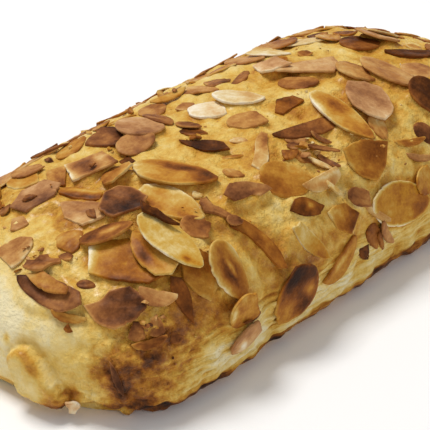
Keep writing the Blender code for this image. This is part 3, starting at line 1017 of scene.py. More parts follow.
MARKS: dict[int, tuple[Mark, ...]] = {
    number: tuple(Mark(*row) for row in rows)
    for number, rows in {
        1: ((-0.8, 0.5, 0.5, 0.7, -0.20), (0.2, -0.9, 1.2, 0.25, -0.08)),
        2: ((-0.95, 0.0, 0.16, 0.9, -0.34), (0.1, -0.95, 1.0, 0.16, 0.2)),
        3: ((0.1, -0.5, 0.4, 0.4, 0.42),),
        4: ((0.1, -0.85, 0.9, 0.2, -0.10),),
        7: ((-0.45, -0.7, 0.4, 0.4, 0.4), (0.6, -0.5, 0.35, 0.4, 0.2), (-0.5, 0.3, 0.35, 0.35, 0.16)),
        9: (
            (0.1, 0.05, 0.5, 0.42, 0.42),
            (0.0, 0.12, 0.26, 0.14, -0.66),
            (0.0, -0.95, 1.1, 0.35, -0.22),
            (0.0, 0.95, 1.1, 0.3, -0.12),
        ),
        10: ((0.62, -0.3, 0.12, 0.2, 0.4), (0.0, -0.95, 1.2, 0.14, -0.12)),
        12: ((0.2, 0.45, 0.7, 0.35, 0.36), (0.75, 0.0, 0.28, 0.6, 0.3), (-0.75, -0.1, 0.4, 0.7, -0.16)),
        13: ((-0.5, 0.3, 0.5, 0.5, 0.10), (0.5, -0.4, 0.5, 0.5, -0.10)),
        15: ((0.1, 0.0, 0.5, 0.28, -0.32), (-0.5, 0.0, 0.2, 0.4, 0.2)),
        18: ((0.1, 0.3, 0.9, 0.3, -0.28), (0.1, -0.6, 0.9, 0.25, 0.26)),
        20: ((0.0, 0.6, 0.9, 0.28, -0.38), (0.0, -0.15, 1.1, 0.3, 0.16), (0.0, -0.9, 0.9, 0.2, -0.38)),
        21: ((-0.2, 0.4, 0.8, 0.5, -0.10), (0.5, -0.5, 0.5, 0.4, 0.12)),
        25: ((0.6, 0.0, 0.4, 0.9, 0.26), (0.4, 0.4, 0.5, 0.4, -0.16)),
        27: ((-0.3, 0.0, 0.4, 0.4, 0.12), (0.3, 0.4, 0.6, 0.3, -0.2)),
        28: ((0.1, -0.5, 0.3, 0.16, -0.34),),
        30: ((0.2, 0.4, 0.2, 0.25, -0.36),),
        34: ((-0.5, 0.2, 0.5, 0.7, -0.22),),
        36: ((-0.4, 0.35, 0.5, 0.55, 0.26), (-0.5, -0.8, 0.5, 0.3, -0.2), (0.8, 0.0, 0.3, 0.8, 0.1)),
        37: ((0.4, 0.5, 0.6, 0.6, 0.12), (-0.6, 0.1, 0.4, 0.8, -0.24)),
        48: ((0.6, 0.2, 0.5, 0.5, 0.2), (-0.6, 0.2, 0.5, 0.4, -0.12)),
        49: ((-0.7, -0.4, 0.4, 0.6, -0.26), (0.6, 0.1, 0.4, 0.6, 0.16)),
        50: ((0.3, 0.5, 0.5, 0.5, 0.12), (0.33, -0.5, 0.22, 0.35, -0.36), (-0.6, 0.0, 0.4, 0.9, -0.3)),
        51: ((0.0, 0.4, 0.5, 0.4, -0.26),),
        52: ((-0.75, 0.2, 0.3, 0.6, -0.34),),
        # Slice 53's pale spot is a painted highlight.
        53: ((-0.3, -0.2, 0.25, 0.5, -0.32),),
        54: ((0.6, -0.2, 0.25, 0.3, 0.18), (0.0, -0.95, 1.2, 0.10, -0.12)),
    }.items()
}


CUTS: dict[int, tuple[tuple[float, float], ...]] = {
    1: ((-1, 0.1), (-0.6, -0.7), (0, -1), (0.6, -0.65), (1, 0), (0.9, 0.45), (0.45, 0.95), (-0.2, 0.75),
        (-0.5, 0.25)),
    2: ((-1, 0.5), (-0.9, -0.7), (-0.3, -0.95), (0.55, -1), (0.95, -0.5), (1, 0.3), (0.5, 1), (-0.5, 1)),
    3: ((-1, 0), (-0.6, -0.6), (0.1, -0.85), (0.75, -0.6), (1, 0.1), (0.8, 0.7), (0.2, 0.75), (-0.5, 0.35)),
    4: ((-1.1, 0.25), (-0.95, -0.1), (-0.4, -0.5), (0.35, -0.8), (0.75, -0.65), (1.05, -0.1), (0.85, 0.4),
        (0.4, 0.55), (-0.3, 0.6), (-0.9, 0.4)),
    5: ((-0.9, 0.9), (-0.55, 0.15), (0.05, -0.75), (1, -0.65), (1, 0.1), (0.15, 1.05), (-0.25, 1.5)),
    6: ((-1, -0.6), (-0.5, -1), (0.1, -0.9), (0.4, -0.2), (1, 0), (0.95, 0.5), (0.3, 0.4), (0.15, 1),
        (-0.35, 0.9), (-0.45, 0.2), (-0.9, 0.1)),
    8: ((-1, 0.4), (-0.7, -0.6), (-0.1, -0.9), (0.55, -1), (0.68, -0.3), (1, 0.5), (0.3, 1), (-0.5, 0.95)),
    11: ((-1, -0.3), (-0.6, -0.9), (0.3, -0.75), (1, 0), (-0.1, 1), (-0.8, 0.7)),
    13: ((-1, 0.8), (-0.6, -0.4), (0.2, -1), (0.9, -0.3), (1, 0.7), (-0.2, 1)),
    14: ((-1, -0.5), (-0.4, -1), (0.75, -0.6), (1, 0.1), (0.5, 0.8), (-0.1, 1), (-0.65, 0.6)),
    16: ((-1, 0.3), (-0.5, -0.7), (0.2, -0.4), (0.95, -0.5), (1, 0.1), (0.5, 0.4), (-0.35, 0.3), (-0.6, 1)),
    17: ((-1, 0.6), (-0.7, -0.9), (-0.1, -0.7), (0.6, -0.9), (1, -0.2), (0.2, 0.15), (-0.2, 0.6),
         (-0.6, 0.25)),
    18: ((-1, 0.5), (-0.9, -0.3), (0.1, -1), (1, -0.8), (0.95, 0.3), (-0.5, 1)),
    19: ((-1, -0.6), (-0.2, -1), (0.8, -1), (1, -0.5), (-0.1, 1), (-0.6, 0.9)),
    20: ((-0.75, 0.9), (-1, -0.75), (0.7, -1), (1, 1)),
    21: ((-1, -0.4), (-0.3, -1), (0.8, -0.3), (1, 0.5), (0.3, 1), (-0.6, 0.6)),
    22: ((-1, 0.3), (-0.7, -0.5), (-0.2, -1), (0.5, -0.6), (1, 0.1), (0.8, 0.5), (0, 1), (-0.7, 0.8)),
    24: ((-1, 0.6), (-0.4, -0.7), (0.4, -1), (1, -0.6), (0.7, 0.6), (0.1, 1), (-0.5, 0.5)),
    25: ((-1, -0.3), (-0.4, -0.8), (0.4, -0.35), (0.95, -0.2), (1, 0.3), (0.5, 0.6), (-0.1, 0.35),
         (-0.8, 0.4)),
    28: ((-1, 0.3), (-0.75, -0.35), (-0.3, -0.4), (0, -0.25), (0.3, -0.55), (0.8, -0.35), (0.65, 0.1),
         (0, 0.7),
         (-0.6, 0.9)),
    29: ((-1, -0.3), (-0.8, -0.8), (-0.4, -0.3), (0.2, -0.3), (0.8, -0.5), (1, 0.1), (0.6, 0.9), (-0.1, 1),
         (-0.7, 0.5)),
    30: ((-0.85, -0.2), (-0.4, -0.35), (0.05, -0.45), (0.85, -0.2), (1, 0.4), (0.3, 0.75), (-0.2, 0.85),
         (-0.6, 0.6)),
    34: ((-0.85, 0.05), (-0.65, -0.5), (0.2, -0.15), (1.25, 0.1), (1.1, 1.1), (0.1, 1.3)),
    37: ((-0.9, 0.2), (-0.6, -0.25), (-0.05, -0.55), (0.55, -0.45), (0.8, 0.2), (0.7, 1), (-0.3, 0.8)),
    38: ((-0.95, 0.1), (-0.75, -0.8), (-0.2, -1.2), (0.5, -1.15), (0.9, -0.6), (0.95, 0.2), (0.65, 1),
         (0, 1.2),
         (-0.7, 0.9)),
    40: ((-1, 1.2), (-0.3, -1), (0.4, -2.2), (0.8, -1.4), (1, 0.8), (-0.2, 1.3)),
    44: ((-1, 0.9), (-0.9, -0.8), (0.6, -1), (1, -0.5), (0.9, 1)),
    48: ((-0.95, -0.1), (-0.2, -0.35), (0.5, -0.05), (1, 0.5), (0.45, 0.7), (-0.25, 0.6), (-0.85, 0.45)),
    49: ((-1, -1), (0.1, -0.9), (0.95, -0.15), (0.25, 0.95), (-0.8, 0.35), (-1.1, -0.5)),
    50: ((-0.95, -0.1), (-0.75, -0.55), (-0.4, -1.1), (0, -1.35), (0.45, -1.2), (0.75, -0.7), (0.85, -0.15),
         (0.75, 0.4), (0.5, 0.85), (0.05, 0.95), (-0.3, 0.9), (-0.8, 0.5)),
    55: ((-0.95, -0.5), (-0.3, -0.95), (0.4, -0.8), (0.8, -0.3), (0.3, 0.05), (-0.5, 0)),
    56: ((-0.8, -0.6), (0.75, -0.7), (0.9, -0.2), (0.1, 0.7), (-0.5, 0.4)),
}


def finger_outline(length: float, width: float, broken: Break, points: int) -> np.ndarray:
    """Return an almond slice's outline, pointed at +X, broken as told.

    Args:
        length: length before it broke.
        width: greatest width.
        broken: how it is broken.
        points: points before it broke.

    Returns:
        Points of the outline, turning left.
    """
    turns = (np.arange(points) + 0.5) * 2.0 * math.pi / points
    across = np.sin(turns) * np.abs(np.sin(turns / 2.0)) ** 0.4
    outline = [
        np.array((math.cos(turn) * length / 2.0, y / np.abs(across).max() * width / 2.0))
        for turn, y in zip(turns, across)
    ]
    for degrees, share in broken.value:
        turn = math.radians(degrees)
        direction = np.array((math.cos(turn), math.sin(turn)))
        keep = share * (length if abs(direction[0]) > 0.5 else width) / 2.0
        kept = []
        for k, point in enumerate(outline):
            before = outline[k - 1]
            inside = point @ direction <= keep
            if inside != (before @ direction <= keep):
                part = (keep - before @ direction) / ((point - before) @ direction)
                kept.append(before + (point - before) * part)
            if inside:
                kept.append(point)
        outline = kept
    shape = np.array(outline)
    return shape - (shape.max(axis=0) + shape.min(axis=0)) / 2.0


def refined_outline(outline: np.ndarray, spacing: float, sharp_turn: float = 36.0) -> np.ndarray:
    """Return a closed outline with soft arcs, crisp broken corners and even steps.

    Args:
        outline: points of the outline, turning left.
        spacing: the greatest step between two points.
        sharp_turn: degrees past which a corner stays crisp.

    Returns:
        The finer outline.
    """
    ahead = np.roll(outline, -1, axis=0) - outline
    behind = outline - np.roll(outline, 1, axis=0)
    turns = np.arctan2(ahead[:, 1], ahead[:, 0]) - np.arctan2(behind[:, 1], behind[:, 0])
    turns = (turns + math.pi) % (2.0 * math.pi) - math.pi
    crisp = list(np.degrees(turns) > sharp_turn)
    points = list(outline)
    for _ in range(2):
        made, flags = [], []
        for k, point in enumerate(points):
            before, after = points[k - 1], points[(k + 1) % len(points)]
            if crisp[k]:
                made.append(point)
                flags.append(True)
            else:
                made += [0.25 * before + 0.75 * point, 0.75 * point + 0.25 * after]
                flags += [False, False]
        points, crisp = made, flags
    fine = []
    for k, point in enumerate(points):
        after = points[(k + 1) % len(points)]
        steps = max(1, math.ceil(np.linalg.norm(after - point) / spacing))
        fine += [point + (after - point) * step / steps for step in range(steps)]
    return np.array(fine)


@dataclass
class SliceMaker:
    """Turns an outline into a thin brittle slice: crisp rim, slight warp and its own toasting."""

    spacing: float = 0.62 * MM
    rings: tuple = (0.2, 0.4, 0.58, 0.74, 0.87, 0.95)
    rim: tuple = ((0.985, 0.97), (1.0, 0.78), (1.0, 0.22), (0.985, 0.02))
    under: tuple = (0.6,)
    ragged: float = 0.08 * MM
    wrinkle: float = 0.09 * MM
    buried: float = 0.2
    blotch: float = 0.14
    speckle: float = 0.06
    slope: float = 0.09

    def ragged_outline(self, shape: np.ndarray, seed: float) -> np.ndarray:
        """Return the fine outline with a nibbled edge and one or two chips.

        Args:
            shape: the fine outline round its middle.
            seed: shifts the bites.

        Returns:
            The ragged outline.
        """
        radius = np.linalg.norm(shape, axis=1)
        bite = np.zeros(len(shape))
        for number in range(3):
            middle = shape[int((math.sin(seed * (7.1 + number)) * 0.5 + 0.5) * (len(shape) - 1))]
            size = self.ragged * (4.0 + 3.0 * math.sin(seed * (3.7 + 2.0 * number)))
            depth = self.ragged * (2.2 + 2.2 * math.sin(seed * (5.3 + 3.0 * number)))
            bite -= depth * np.exp(-((np.linalg.norm(shape - middle, axis=1) / size) ** 2))
        for step, share in ((22.0, 1.5), (7.0, 1.0)):
            bite += self.ragged * share * ripples(*(shape / (self.ragged * step)).T, seed + step)
        return shape * (1.0 + bite / radius)[:, None]

    def solid(self, outline: np.ndarray, thickness: float, curl: float, dish: float, seed: float) -> tuple:
        """Model a slice round its own middle, +Z up.

        Args:
            outline: points of the outline, turning left.
            thickness: the slice's thickness.
            curl: how far its long ends stand up.
            dish: how far its middle sinks below its rim.
            seed: shifts its unevenness.

        Returns:
            Its vertices, its faces, and how near the rim each vertex is.
        """
        calm = refined_outline(outline, self.spacing)
        shape = self.ragged_outline(calm, seed)
        points = len(shape)
        half = np.abs(shape[:, 0]).max()
        levels = [(share, 1.0) for share in self.rings] + list(self.rim)
        levels += [(share, 0.0) for share in self.under]
        rows = []
        for share, height in levels:
            edge = float(smoothstep(0.6, 0.95, np.array(share)))
            ring = (shape * edge + calm * (1.0 - edge)) * share
            rows.append(np.column_stack((ring, np.full(points, height))))
        count = len(rows) * points
        places = np.vstack((*rows, (0.0, 0.0, 1.0), (0.0, 0.0, 0.0)))
        nearness = np.repeat([share for share, _ in levels], points)
        nearness = np.concatenate((nearness, (0.0, 0.0)))
        along, across = places[:, 0] / half, places[:, 1] / half
        warp = ripples(along * 1.3, across * 1.9, seed + 9.0)
        fine = ripples(along * 2.2, across * 3.6, seed + 19.0)
        thin = thickness * (1.0 + 0.25 * fine) * (1.0 - 0.22 * nearness**3)
        twist = 0.9 * curl * along * across * math.cos(seed * 4.1)
        sag = curl * along**2 + twist - dish * (1.0 - nearness**2)
        top = places[:, 2] > 0.5
        places[:, 2] = (places[:, 2] - self.buried) * thin + sag + 2.2 * self.wrinkle * warp
        places[:, 2] += self.wrinkle * fine * top * (1.0 - nearness**6)
        faces = []
        for k in range(points):
            ahead = (k + 1) % points
            faces.append((count, k, ahead))
            for row in range(len(rows) - 1):
                low, high = row * points, (row + 1) * points
                faces.append((low + k, high + k, high + ahead, low + ahead))
            last = (len(rows) - 1) * points
            faces.append((last + ahead, last + k, count + 1))
        return places, faces, nearness

    def toasting(self, places: np.ndarray, nearness: np.ndarray, level: float, seed: float) -> np.ndarray:
        """Return the toast of each vertex: its level, uneven blotches, its own kind of rim and a painted
        highlight on its side wall.

        Args:
            places: the vertices in the slice's own frame.
            nearness: how near the rim each vertex is.
            level: the slice's mean toast.
            seed: shifts its blotches.

        Returns:
            One toast for each vertex.
        """
        size = np.abs(places[:, :2]).max()
        flat = places[:, :2] / size
        right, away = flat.T
        blotch = self.blotch * ripples(right * 1.5, away * 1.5, seed * 3.1)
        fine = self.speckle * ripples(right * 4.0, away * 5.0, seed * 5.7)
        rim = smoothstep(0.84, 0.97, nearness) * (-0.01 + 0.08 * math.sin(seed * 12.9898))
        # Painted highlight: the slice's side wall is painted paler, as where light catches the edge.
        cut = smoothstep(0.985, 1.0, nearness) * -0.07
        slope = self.slope * (right * math.cos(seed * 9.1) + 1.4 * away * math.sin(seed * 9.1))
        return level + blotch + fine + slope + rim + cut

    def finish(self, name: str, solid: tuple, toast: np.ndarray, turn: Matrix) -> bpy.types.Mesh:
        """Turn a modelled slice into a mesh at its place.

        Args:
            name: the mesh's name.
            solid: what solid() gave.
            toast: the toast of each vertex.
            turn: the matrix that puts the slice in place.

        Returns:
            The mesh.
        """
        places, faces, _ = solid
        mesh = bpy.data.meshes.new(name)
        mesh.from_pydata(places.tolist(), [], faces)
        set_vectors(mesh, "slice_place", places)
        set_floats(mesh, "toast", np.clip(toast, 0.0, 1.0))
        mesh.transform(turn)
        mesh.update()
        return mesh


@dataclass
class LargeSlices:
    """The large slices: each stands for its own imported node, at its place and size.

    The tables give, by a slice's number, how much more it is toasted than its kind, how much more
    its rim is, and how far its colour leans from amber to tan. Curls and dishes are in millimetres,
    a mean and how far it swings.
    """

    maker: SliceMaker
    finishes: dict[str, bpy.types.Material]
    level_shift: dict[int, float] = field(default_factory=lambda: {
        1: 0.13, 2: 0.05, 3: -0.1, 4: 0.06, 5: 0.02, 6: -0.2, 7: 0.02, 8: 0.05, 9: -0.32, 10: 0.01, 11: 0.08,
        12: -0.02, 15: 0.06, 16: -0.03, 18: 0.1, 19: 0.04, 20: -0.07, 21: -0.06, 22: 0.08, 24: 0.04, 25: -0.1,
        27: -0.08, 29: -0.02, 30: -0.1, 31: -0.09, 32: -0.06, 34: 0.1, 36: -0.06, 37: -0.04, 38: -0.14,
        39: -0.06, 40: -0.1, 41: -0.02, 44: -0.26, 45: 0.1, 48: 0.1, 50: 0.04, 51: -0.12, 53: -0.2, 54: 0.02,
        55: -0.02,
    })
    rims: dict[int, float] = field(default_factory=lambda: {
        1: -0.1, 2: 0.06, 8: 0.06, 9: -0.1, 10: -0.14, 12: -0.1, 14: -0.2, 15: -0.12, 23: -0.08, 27: -0.08,
        28: -0.1, 30: 0.1, 36: -0.12, 48: -0.1, 50: -0.12, 54: -0.26,
    })
    blushes: dict[int, float] = field(default_factory=lambda: {
        1: 0.6, 2: 0.0, 4: 0.7, 5: 0.3, 6: 0.5, 10: 0.0, 13: 0.8, 14: 0.6, 15: 0.3, 16: 0.6, 19: 0.3, 20: 0.6,
        21: 1.0, 22: 0.6, 23: 1.0, 24: 0.3, 25: 0.5, 27: 0.5, 28: 0.7, 31: 0.9, 32: 0.6, 33: 0.5, 35: 0.4,
        38: 1.0, 39: 0.5, 40: 0.8, 41: 0.5, 42: 0.6, 43: 0.3, 44: 1.0, 45: 0.3, 46: 0.7, 48: 0.0, 53: 0.9,
        54: 0.0, 55: 0.8, 56: 1.0,
    })
    usual_blush: float = 0.12
    seed_step: float = 1.37
    curls: tuple = (0.10, 0.30)
    dishes: tuple = (0.04, 0.10)
    thinned: float = 0.74

    @staticmethod
    def nodes() -> list[str]:
        """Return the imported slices' node names, in order."""
        return sorted(name for name in frame["nodes"] if name != DOUGH_NODE)

    @staticmethod
    def measure(name: str) -> tuple[np.ndarray, float, Matrix]:
        """Read a packed slice's outline, thickness and place.

        Args:
            name: the slice's node.

        Returns:
            Its outline round its middle, its thickness, and the matrix that puts it in place.
        """
        builder = welded(frame["nodes"][name].data)
        places = np.array([vertex.co for vertex in builder.verts])
        builder.free()
        middle = (places.max(axis=0) + places.min(axis=0)) / 2.0
        _, _, axes = np.linalg.svd(places - places.mean(axis=0), full_matrices=False)
        long_axis, up = Vector(axes[0]), Vector(axes[2])
        outward = Vector(middle - np.array(BASE) - np.array((0.55 * middle[0], 0.0, 6.0 * MM)))
        if up.dot(outward) < 0.0:
            up = -up
        cross_axis = up.cross(long_axis)
        flat = (places - places.mean(axis=0)) @ np.array((long_axis, cross_axis, up)).T
        low, high = flat[:, 2].min(), flat[:, 2].max()
        ring = flat[np.abs(flat[:, 2] - (low + high) / 2.0) < 0.2 * (high - low)][:, :2]
        middle_flat = (ring.max(axis=0) + ring.min(axis=0)) / 2.0
        ring = ring - middle_flat
        ring = ring[np.argsort(np.arctan2(ring[:, 1], ring[:, 0]))]
        origin = Vector(places.mean(axis=0)) + long_axis * middle_flat[0] + cross_axis * middle_flat[1]
        origin = origin + up * low
        return ring * 1.02, high - low, frame_at(origin, long_axis, cross_axis, up)

    @staticmethod
    def seen_signs(turn: Matrix) -> np.ndarray:
        """Return the signs that make a slice's long axis run right and its cross axis away.

        Args:
            turn: the matrix that puts the slice in place.

        Returns:
            Two signs, each 1 or -1.
        """
        long_axis, cross_axis, _ = (Vector(column) for column in turn.to_3x3().transposed())
        right, away = long_axis.dot(SEEN_RIGHT), cross_axis.dot(SEEN_AWAY)
        return np.array((math.copysign(1.0, right), math.copysign(1.0, away)))

    @classmethod
    def cut(cls, outline: np.ndarray, turn: Matrix, corners: Sequence[tuple[float, float]]) -> np.ndarray:
        """Return an outline of the same reach cut to a slice's own corners, if it has any.

        Args:
            outline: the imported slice's outline.
            turn: the matrix that puts the slice in place.
            corners: the corners in shares of the half length and half width, turning left.

        Returns:
            The outline, turning left.
        """
        if not corners:
            return outline
        signs = cls.seen_signs(turn)
        shape = np.array(corners) * signs * np.abs(outline).max(axis=0)
        return shape if signs.prod() > 0.0 else shape[::-1]

    @classmethod
    def marked(
        cls, toast: np.ndarray, places: np.ndarray, turn: Matrix, marks: Sequence[Mark]
    ) -> np.ndarray:
        """Return the toast with a slice's own patches added.

        Args:
            toast: the toast of each vertex.
            places: the vertices in the slice's own frame.
            turn: the matrix that puts the slice in place.
            marks: the patches.

        Returns:
            The new toast of each vertex.
        """
        along, across = (places[:, :2] / np.abs(places[:, :2]).max(axis=0) * cls.seen_signs(turn)).T
        for mark in marks:
            reach = ((along - mark.along) / mark.reach_along) ** 2
            reach = reach + ((across - mark.across) / mark.reach_across) ** 2
            toast = toast + mark.depth * np.exp(-reach)
        return toast

    def build(self) -> list[bpy.types.Object]:
        """Make every large slice and return them.

        Returns:
            The finished slices, in the order of their nodes.
        """
        made = []
        for number, name in enumerate(self.nodes(), start=1):
            word = name.rsplit("_", 1)[-1]
            toast = next(kind for kind in Toast if kind.word == word)
            outline, thickness, turn = self.measure(name)
            outline = self.cut(outline, turn, CUTS.get(number, ()))
            seed = self.seed_step * number
            curl = (self.curls[0] + self.curls[1] * math.sin(seed * 2.3)) * MM
            dish = (self.dishes[0] + self.dishes[1] * math.sin(seed)) * MM
            solid = self.maker.solid(outline, thickness * self.thinned, curl, dish, seed)
            level = toast.level + self.level_shift.get(number, 0.0)
            shades = self.maker.toasting(solid[0], solid[2], level, seed)
            shades += self.rims.get(number, 0.0) * smoothstep(0.9, 0.99, solid[2])
            shades = self.marked(shades, solid[0], turn, MARKS.get(number, ()))
            piece_name = f"almond_slice_{number:02d}"
            piece = new_object(piece_name, self.maker.finish(piece_name, solid, shades, turn))
            blush = self.blushes.get(number, self.usual_blush)
            set_floats(piece.data, "blush", np.full(len(solid[0]), blush))
            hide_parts(name)
            dress(piece, self.finishes[word])
            made.append(piece)
        return made


@dataclass(frozen=True)
class LooseSlice:
    """A smaller slice laid on the crust: millimetres from the base's middle, and its heading.

    With a compass direction it is laid on the wall seen from there, and its second number is a
    height instead of a place across.
    """

    along: float
    across: float
    heading: float
    length: float
    width: float
    broken: Break
    toast: Toast
    compass: float | None = None


PLACED_SLICES: tuple[LooseSlice, ...] = tuple(LooseSlice(*row) for row in (
    (-30.0, 21.0, -10, 9.0, 4.0, Break.BOTH, Toast.BROWN),
    (-24.5, 20.5, 10, 8.0, 4.0, Break.CORNER, Toast.GOLDEN),
    (-18.0, 22.0, -25, 9.0, 3.6, Break.HALF, Toast.GOLDEN),
    (-48.0, 18.0, -50, 9.0, 5.0, Break.TIP, Toast.GOLDEN),
    (-3.0, 20.0, 5, 8.0, 3.4, Break.HALF, Toast.BROWN),
    (6.0, 21.0, -20, 9.0, 4.0, Break.BOTH, Toast.GOLDEN),
    (-1.0, -19.0, -20, 6.0, 2.0, Break.HALF, Toast.GOLDEN),
    (-6.5, -19.5, -50, 5.0, 3.0, Break.CORNER, Toast.BROWN),
    (0.5, -18.0, -70, 5.0, 2.2, Break.HALF, Toast.BROWN),
    (-8.5, -17.5, -10, 4.5, 3.4, Break.CORNER, Toast.BROWN),
    (-4.0, -15.5, -40, 5.0, 2.4, Break.HALF, Toast.GOLDEN),
    (-63.0, 3.5, -20, 9.0, 6.5, Break.BUTT, Toast.GOLDEN),
    (-58.0, 8.5, -36, 5.5, 3.6, Break.BOTH, Toast.GOLDEN),
    (-56.0, 14.5, -10, 3.5, 2.5, Break.CORNER, Toast.BROWN),
    (-56.5, -4.5, -9, 7.0, 6.0, Break.BUTT, Toast.GOLDEN),
    (-62.0, -14.0, -57, 3.8, 2.0, Break.WHOLE, Toast.BROWN),
    (-35.0, 17.5, 0, 8.5, 5.0, Break.WHOLE, Toast.GOLDEN),
    (-41.5, 22.0, -32, 12.0, 3.5, Break.HALF, Toast.GOLDEN),
    (-45.5, 19.5, -35, 9.0, 4.0, Break.TIP, Toast.GOLDEN),
    (-38.0, 20.5, -26, 9.0, 3.0, Break.HALF, Toast.BROWN),
    (-32.5, 4.0, -65, 4.4, 3.4, Break.CORNER, Toast.DARK),
    (-50.0, -4.0, -99, 3.6, 2.2, Break.CORNER, Toast.BROWN),
    (-52.5, 11.0, -38, 3.6, 2.0, Break.CORNER, Toast.BROWN),
    (-60.0, -7.0, -82, 4.0, 2.2, Break.BOTH, Toast.BROWN),
    (-39.5, -20.5, -67, 8.0, 5.0, Break.TIP, Toast.BROWN),
    (-32.5, -14.5, -26, 2.8, 2.2, Break.CORNER, Toast.PALE),
    (-28.0, 6.0, -17, 9.0, 6.0, Break.WHOLE, Toast.GOLDEN),
    (-44.0, 11.5, -107, 8.0, 5.5, Break.CORNER, Toast.GOLDEN),
    (-13.5, 15.5, 20, 9.0, 5.5, Break.WHOLE, Toast.GOLDEN),
    (-20.5, 17.5, -20, 7.0, 2.6, Break.HALF, Toast.GOLDEN),
    (35.0, 15.0, -31, 13.0, 7.0, Break.WHOLE, Toast.PALE),
    (43.0, 17.0, -10, 7.0, 4.0, Break.BOTH, Toast.BROWN),
    (40.0, 11.5, 30, 8.0, 6.0, Break.TIP, Toast.GOLDEN),
    (41.0, -13.5, -88, 9.0, 7.5, Break.WHOLE, Toast.GOLDEN),
    (20.0, -27.0, -26, 9.0, 3.2, Break.HALF, Toast.BROWN),
    (25.5, -26.5, -78, 6.0, 5.0, Break.WHOLE, Toast.DARK),
    (20.5, -29.0, -40, 8.0, 3.0, Break.HALF, Toast.GOLDEN),
    (-13.0, -8.0, -47, 4.0, 2.2, Break.WHOLE, Toast.PALE),
    (-19.0, -1.5, -17, 3.4, 2.4, Break.CORNER, Toast.BROWN),
    (-16.5, 1.0, -60, 7.0, 4.5, Break.CORNER, Toast.DARK),
    (-16.0, 3.0, -75, 6.0, 3.6, Break.WHOLE, Toast.BROWN),
    (-4.5, -22.0, -73, 6.0, 2.4, Break.HALF, Toast.PALE),
    (-2.5, -22.5, -86, 6.0, 2.4, Break.HALF, Toast.BROWN),
    (-2.0, -20.5, -56, 7.0, 2.0, Break.HALF, Toast.BROWN),
    (-3.5, -17.5, -30, 4.0, 2.6, Break.CORNER, Toast.GOLDEN),
    (-6.0, -16.5, -80, 3.6, 2.4, Break.BOTH, Toast.BROWN),
    (-22.5, -15.0, -59, 4.6, 2.4, Break.WHOLE, Toast.GOLDEN),
    (-18.0, -11.0, -41, 5.0, 1.8, Break.HALF, Toast.GOLDEN),
    (-33.0, -24.0, -49, 3.4, 2.2, Break.WHOLE, Toast.BROWN),
    (-2.0, -29.0, -46, 8.0, 4.0, Break.TIP, Toast.BROWN),
    (15.0, -22.0, -99, 6.5, 4.0, Break.WHOLE, Toast.GOLDEN),
    (-7.0, -27.0, -67, 5.0, 2.2, Break.HALF, Toast.PALE),
    (-67.5, -15.0, -77, 7.0, 3.4, Break.HALF, Toast.GOLDEN),
    (-68.5, -16.0, -88, 2.2, 1.8, Break.CORNER, Toast.BROWN),
    (-55.5, -25.5, -70, 7.5, 6.0, Break.HALF, Toast.GOLDEN),
    (-61.0, -26.0, -60, 4.5, 3.6, Break.BOTH, Toast.BROWN),
    (-58.0, -28.0, -31, 4.5, 3.6, Break.BOTH, Toast.BROWN),
    (-55.0, -30.0, -24, 3.4, 2.8, Break.CORNER, Toast.DARK),
    (-60.0, -28.0, -28, 7.0, 3.4, Break.HALF, Toast.BROWN),
    (1.0, 12.5, -60, 7.5, 4.5, Break.TIP, Toast.BROWN, -90),
    (4.5, 11.5, -65, 8.0, 4.0, Break.HALF, Toast.GOLDEN, -90),
    (3.0, 10.0, -70, 6.0, 2.6, Break.HALF, Toast.BROWN, -90),
    (-1.5, 9.5, -55, 6.0, 3.4, Break.CORNER, Toast.DARK, -90),
    (2.5, 16.5, -50, 8.0, 3.0, Break.HALF, Toast.PALE, -90),
    (19.0, 17.0, 5, 9.0, 6.0, Break.TIP, Toast.GOLDEN, -90),
    (-38.0, 12.5, -12, 7.0, 1.4, Break.HALF, Toast.DARK, -90),
))


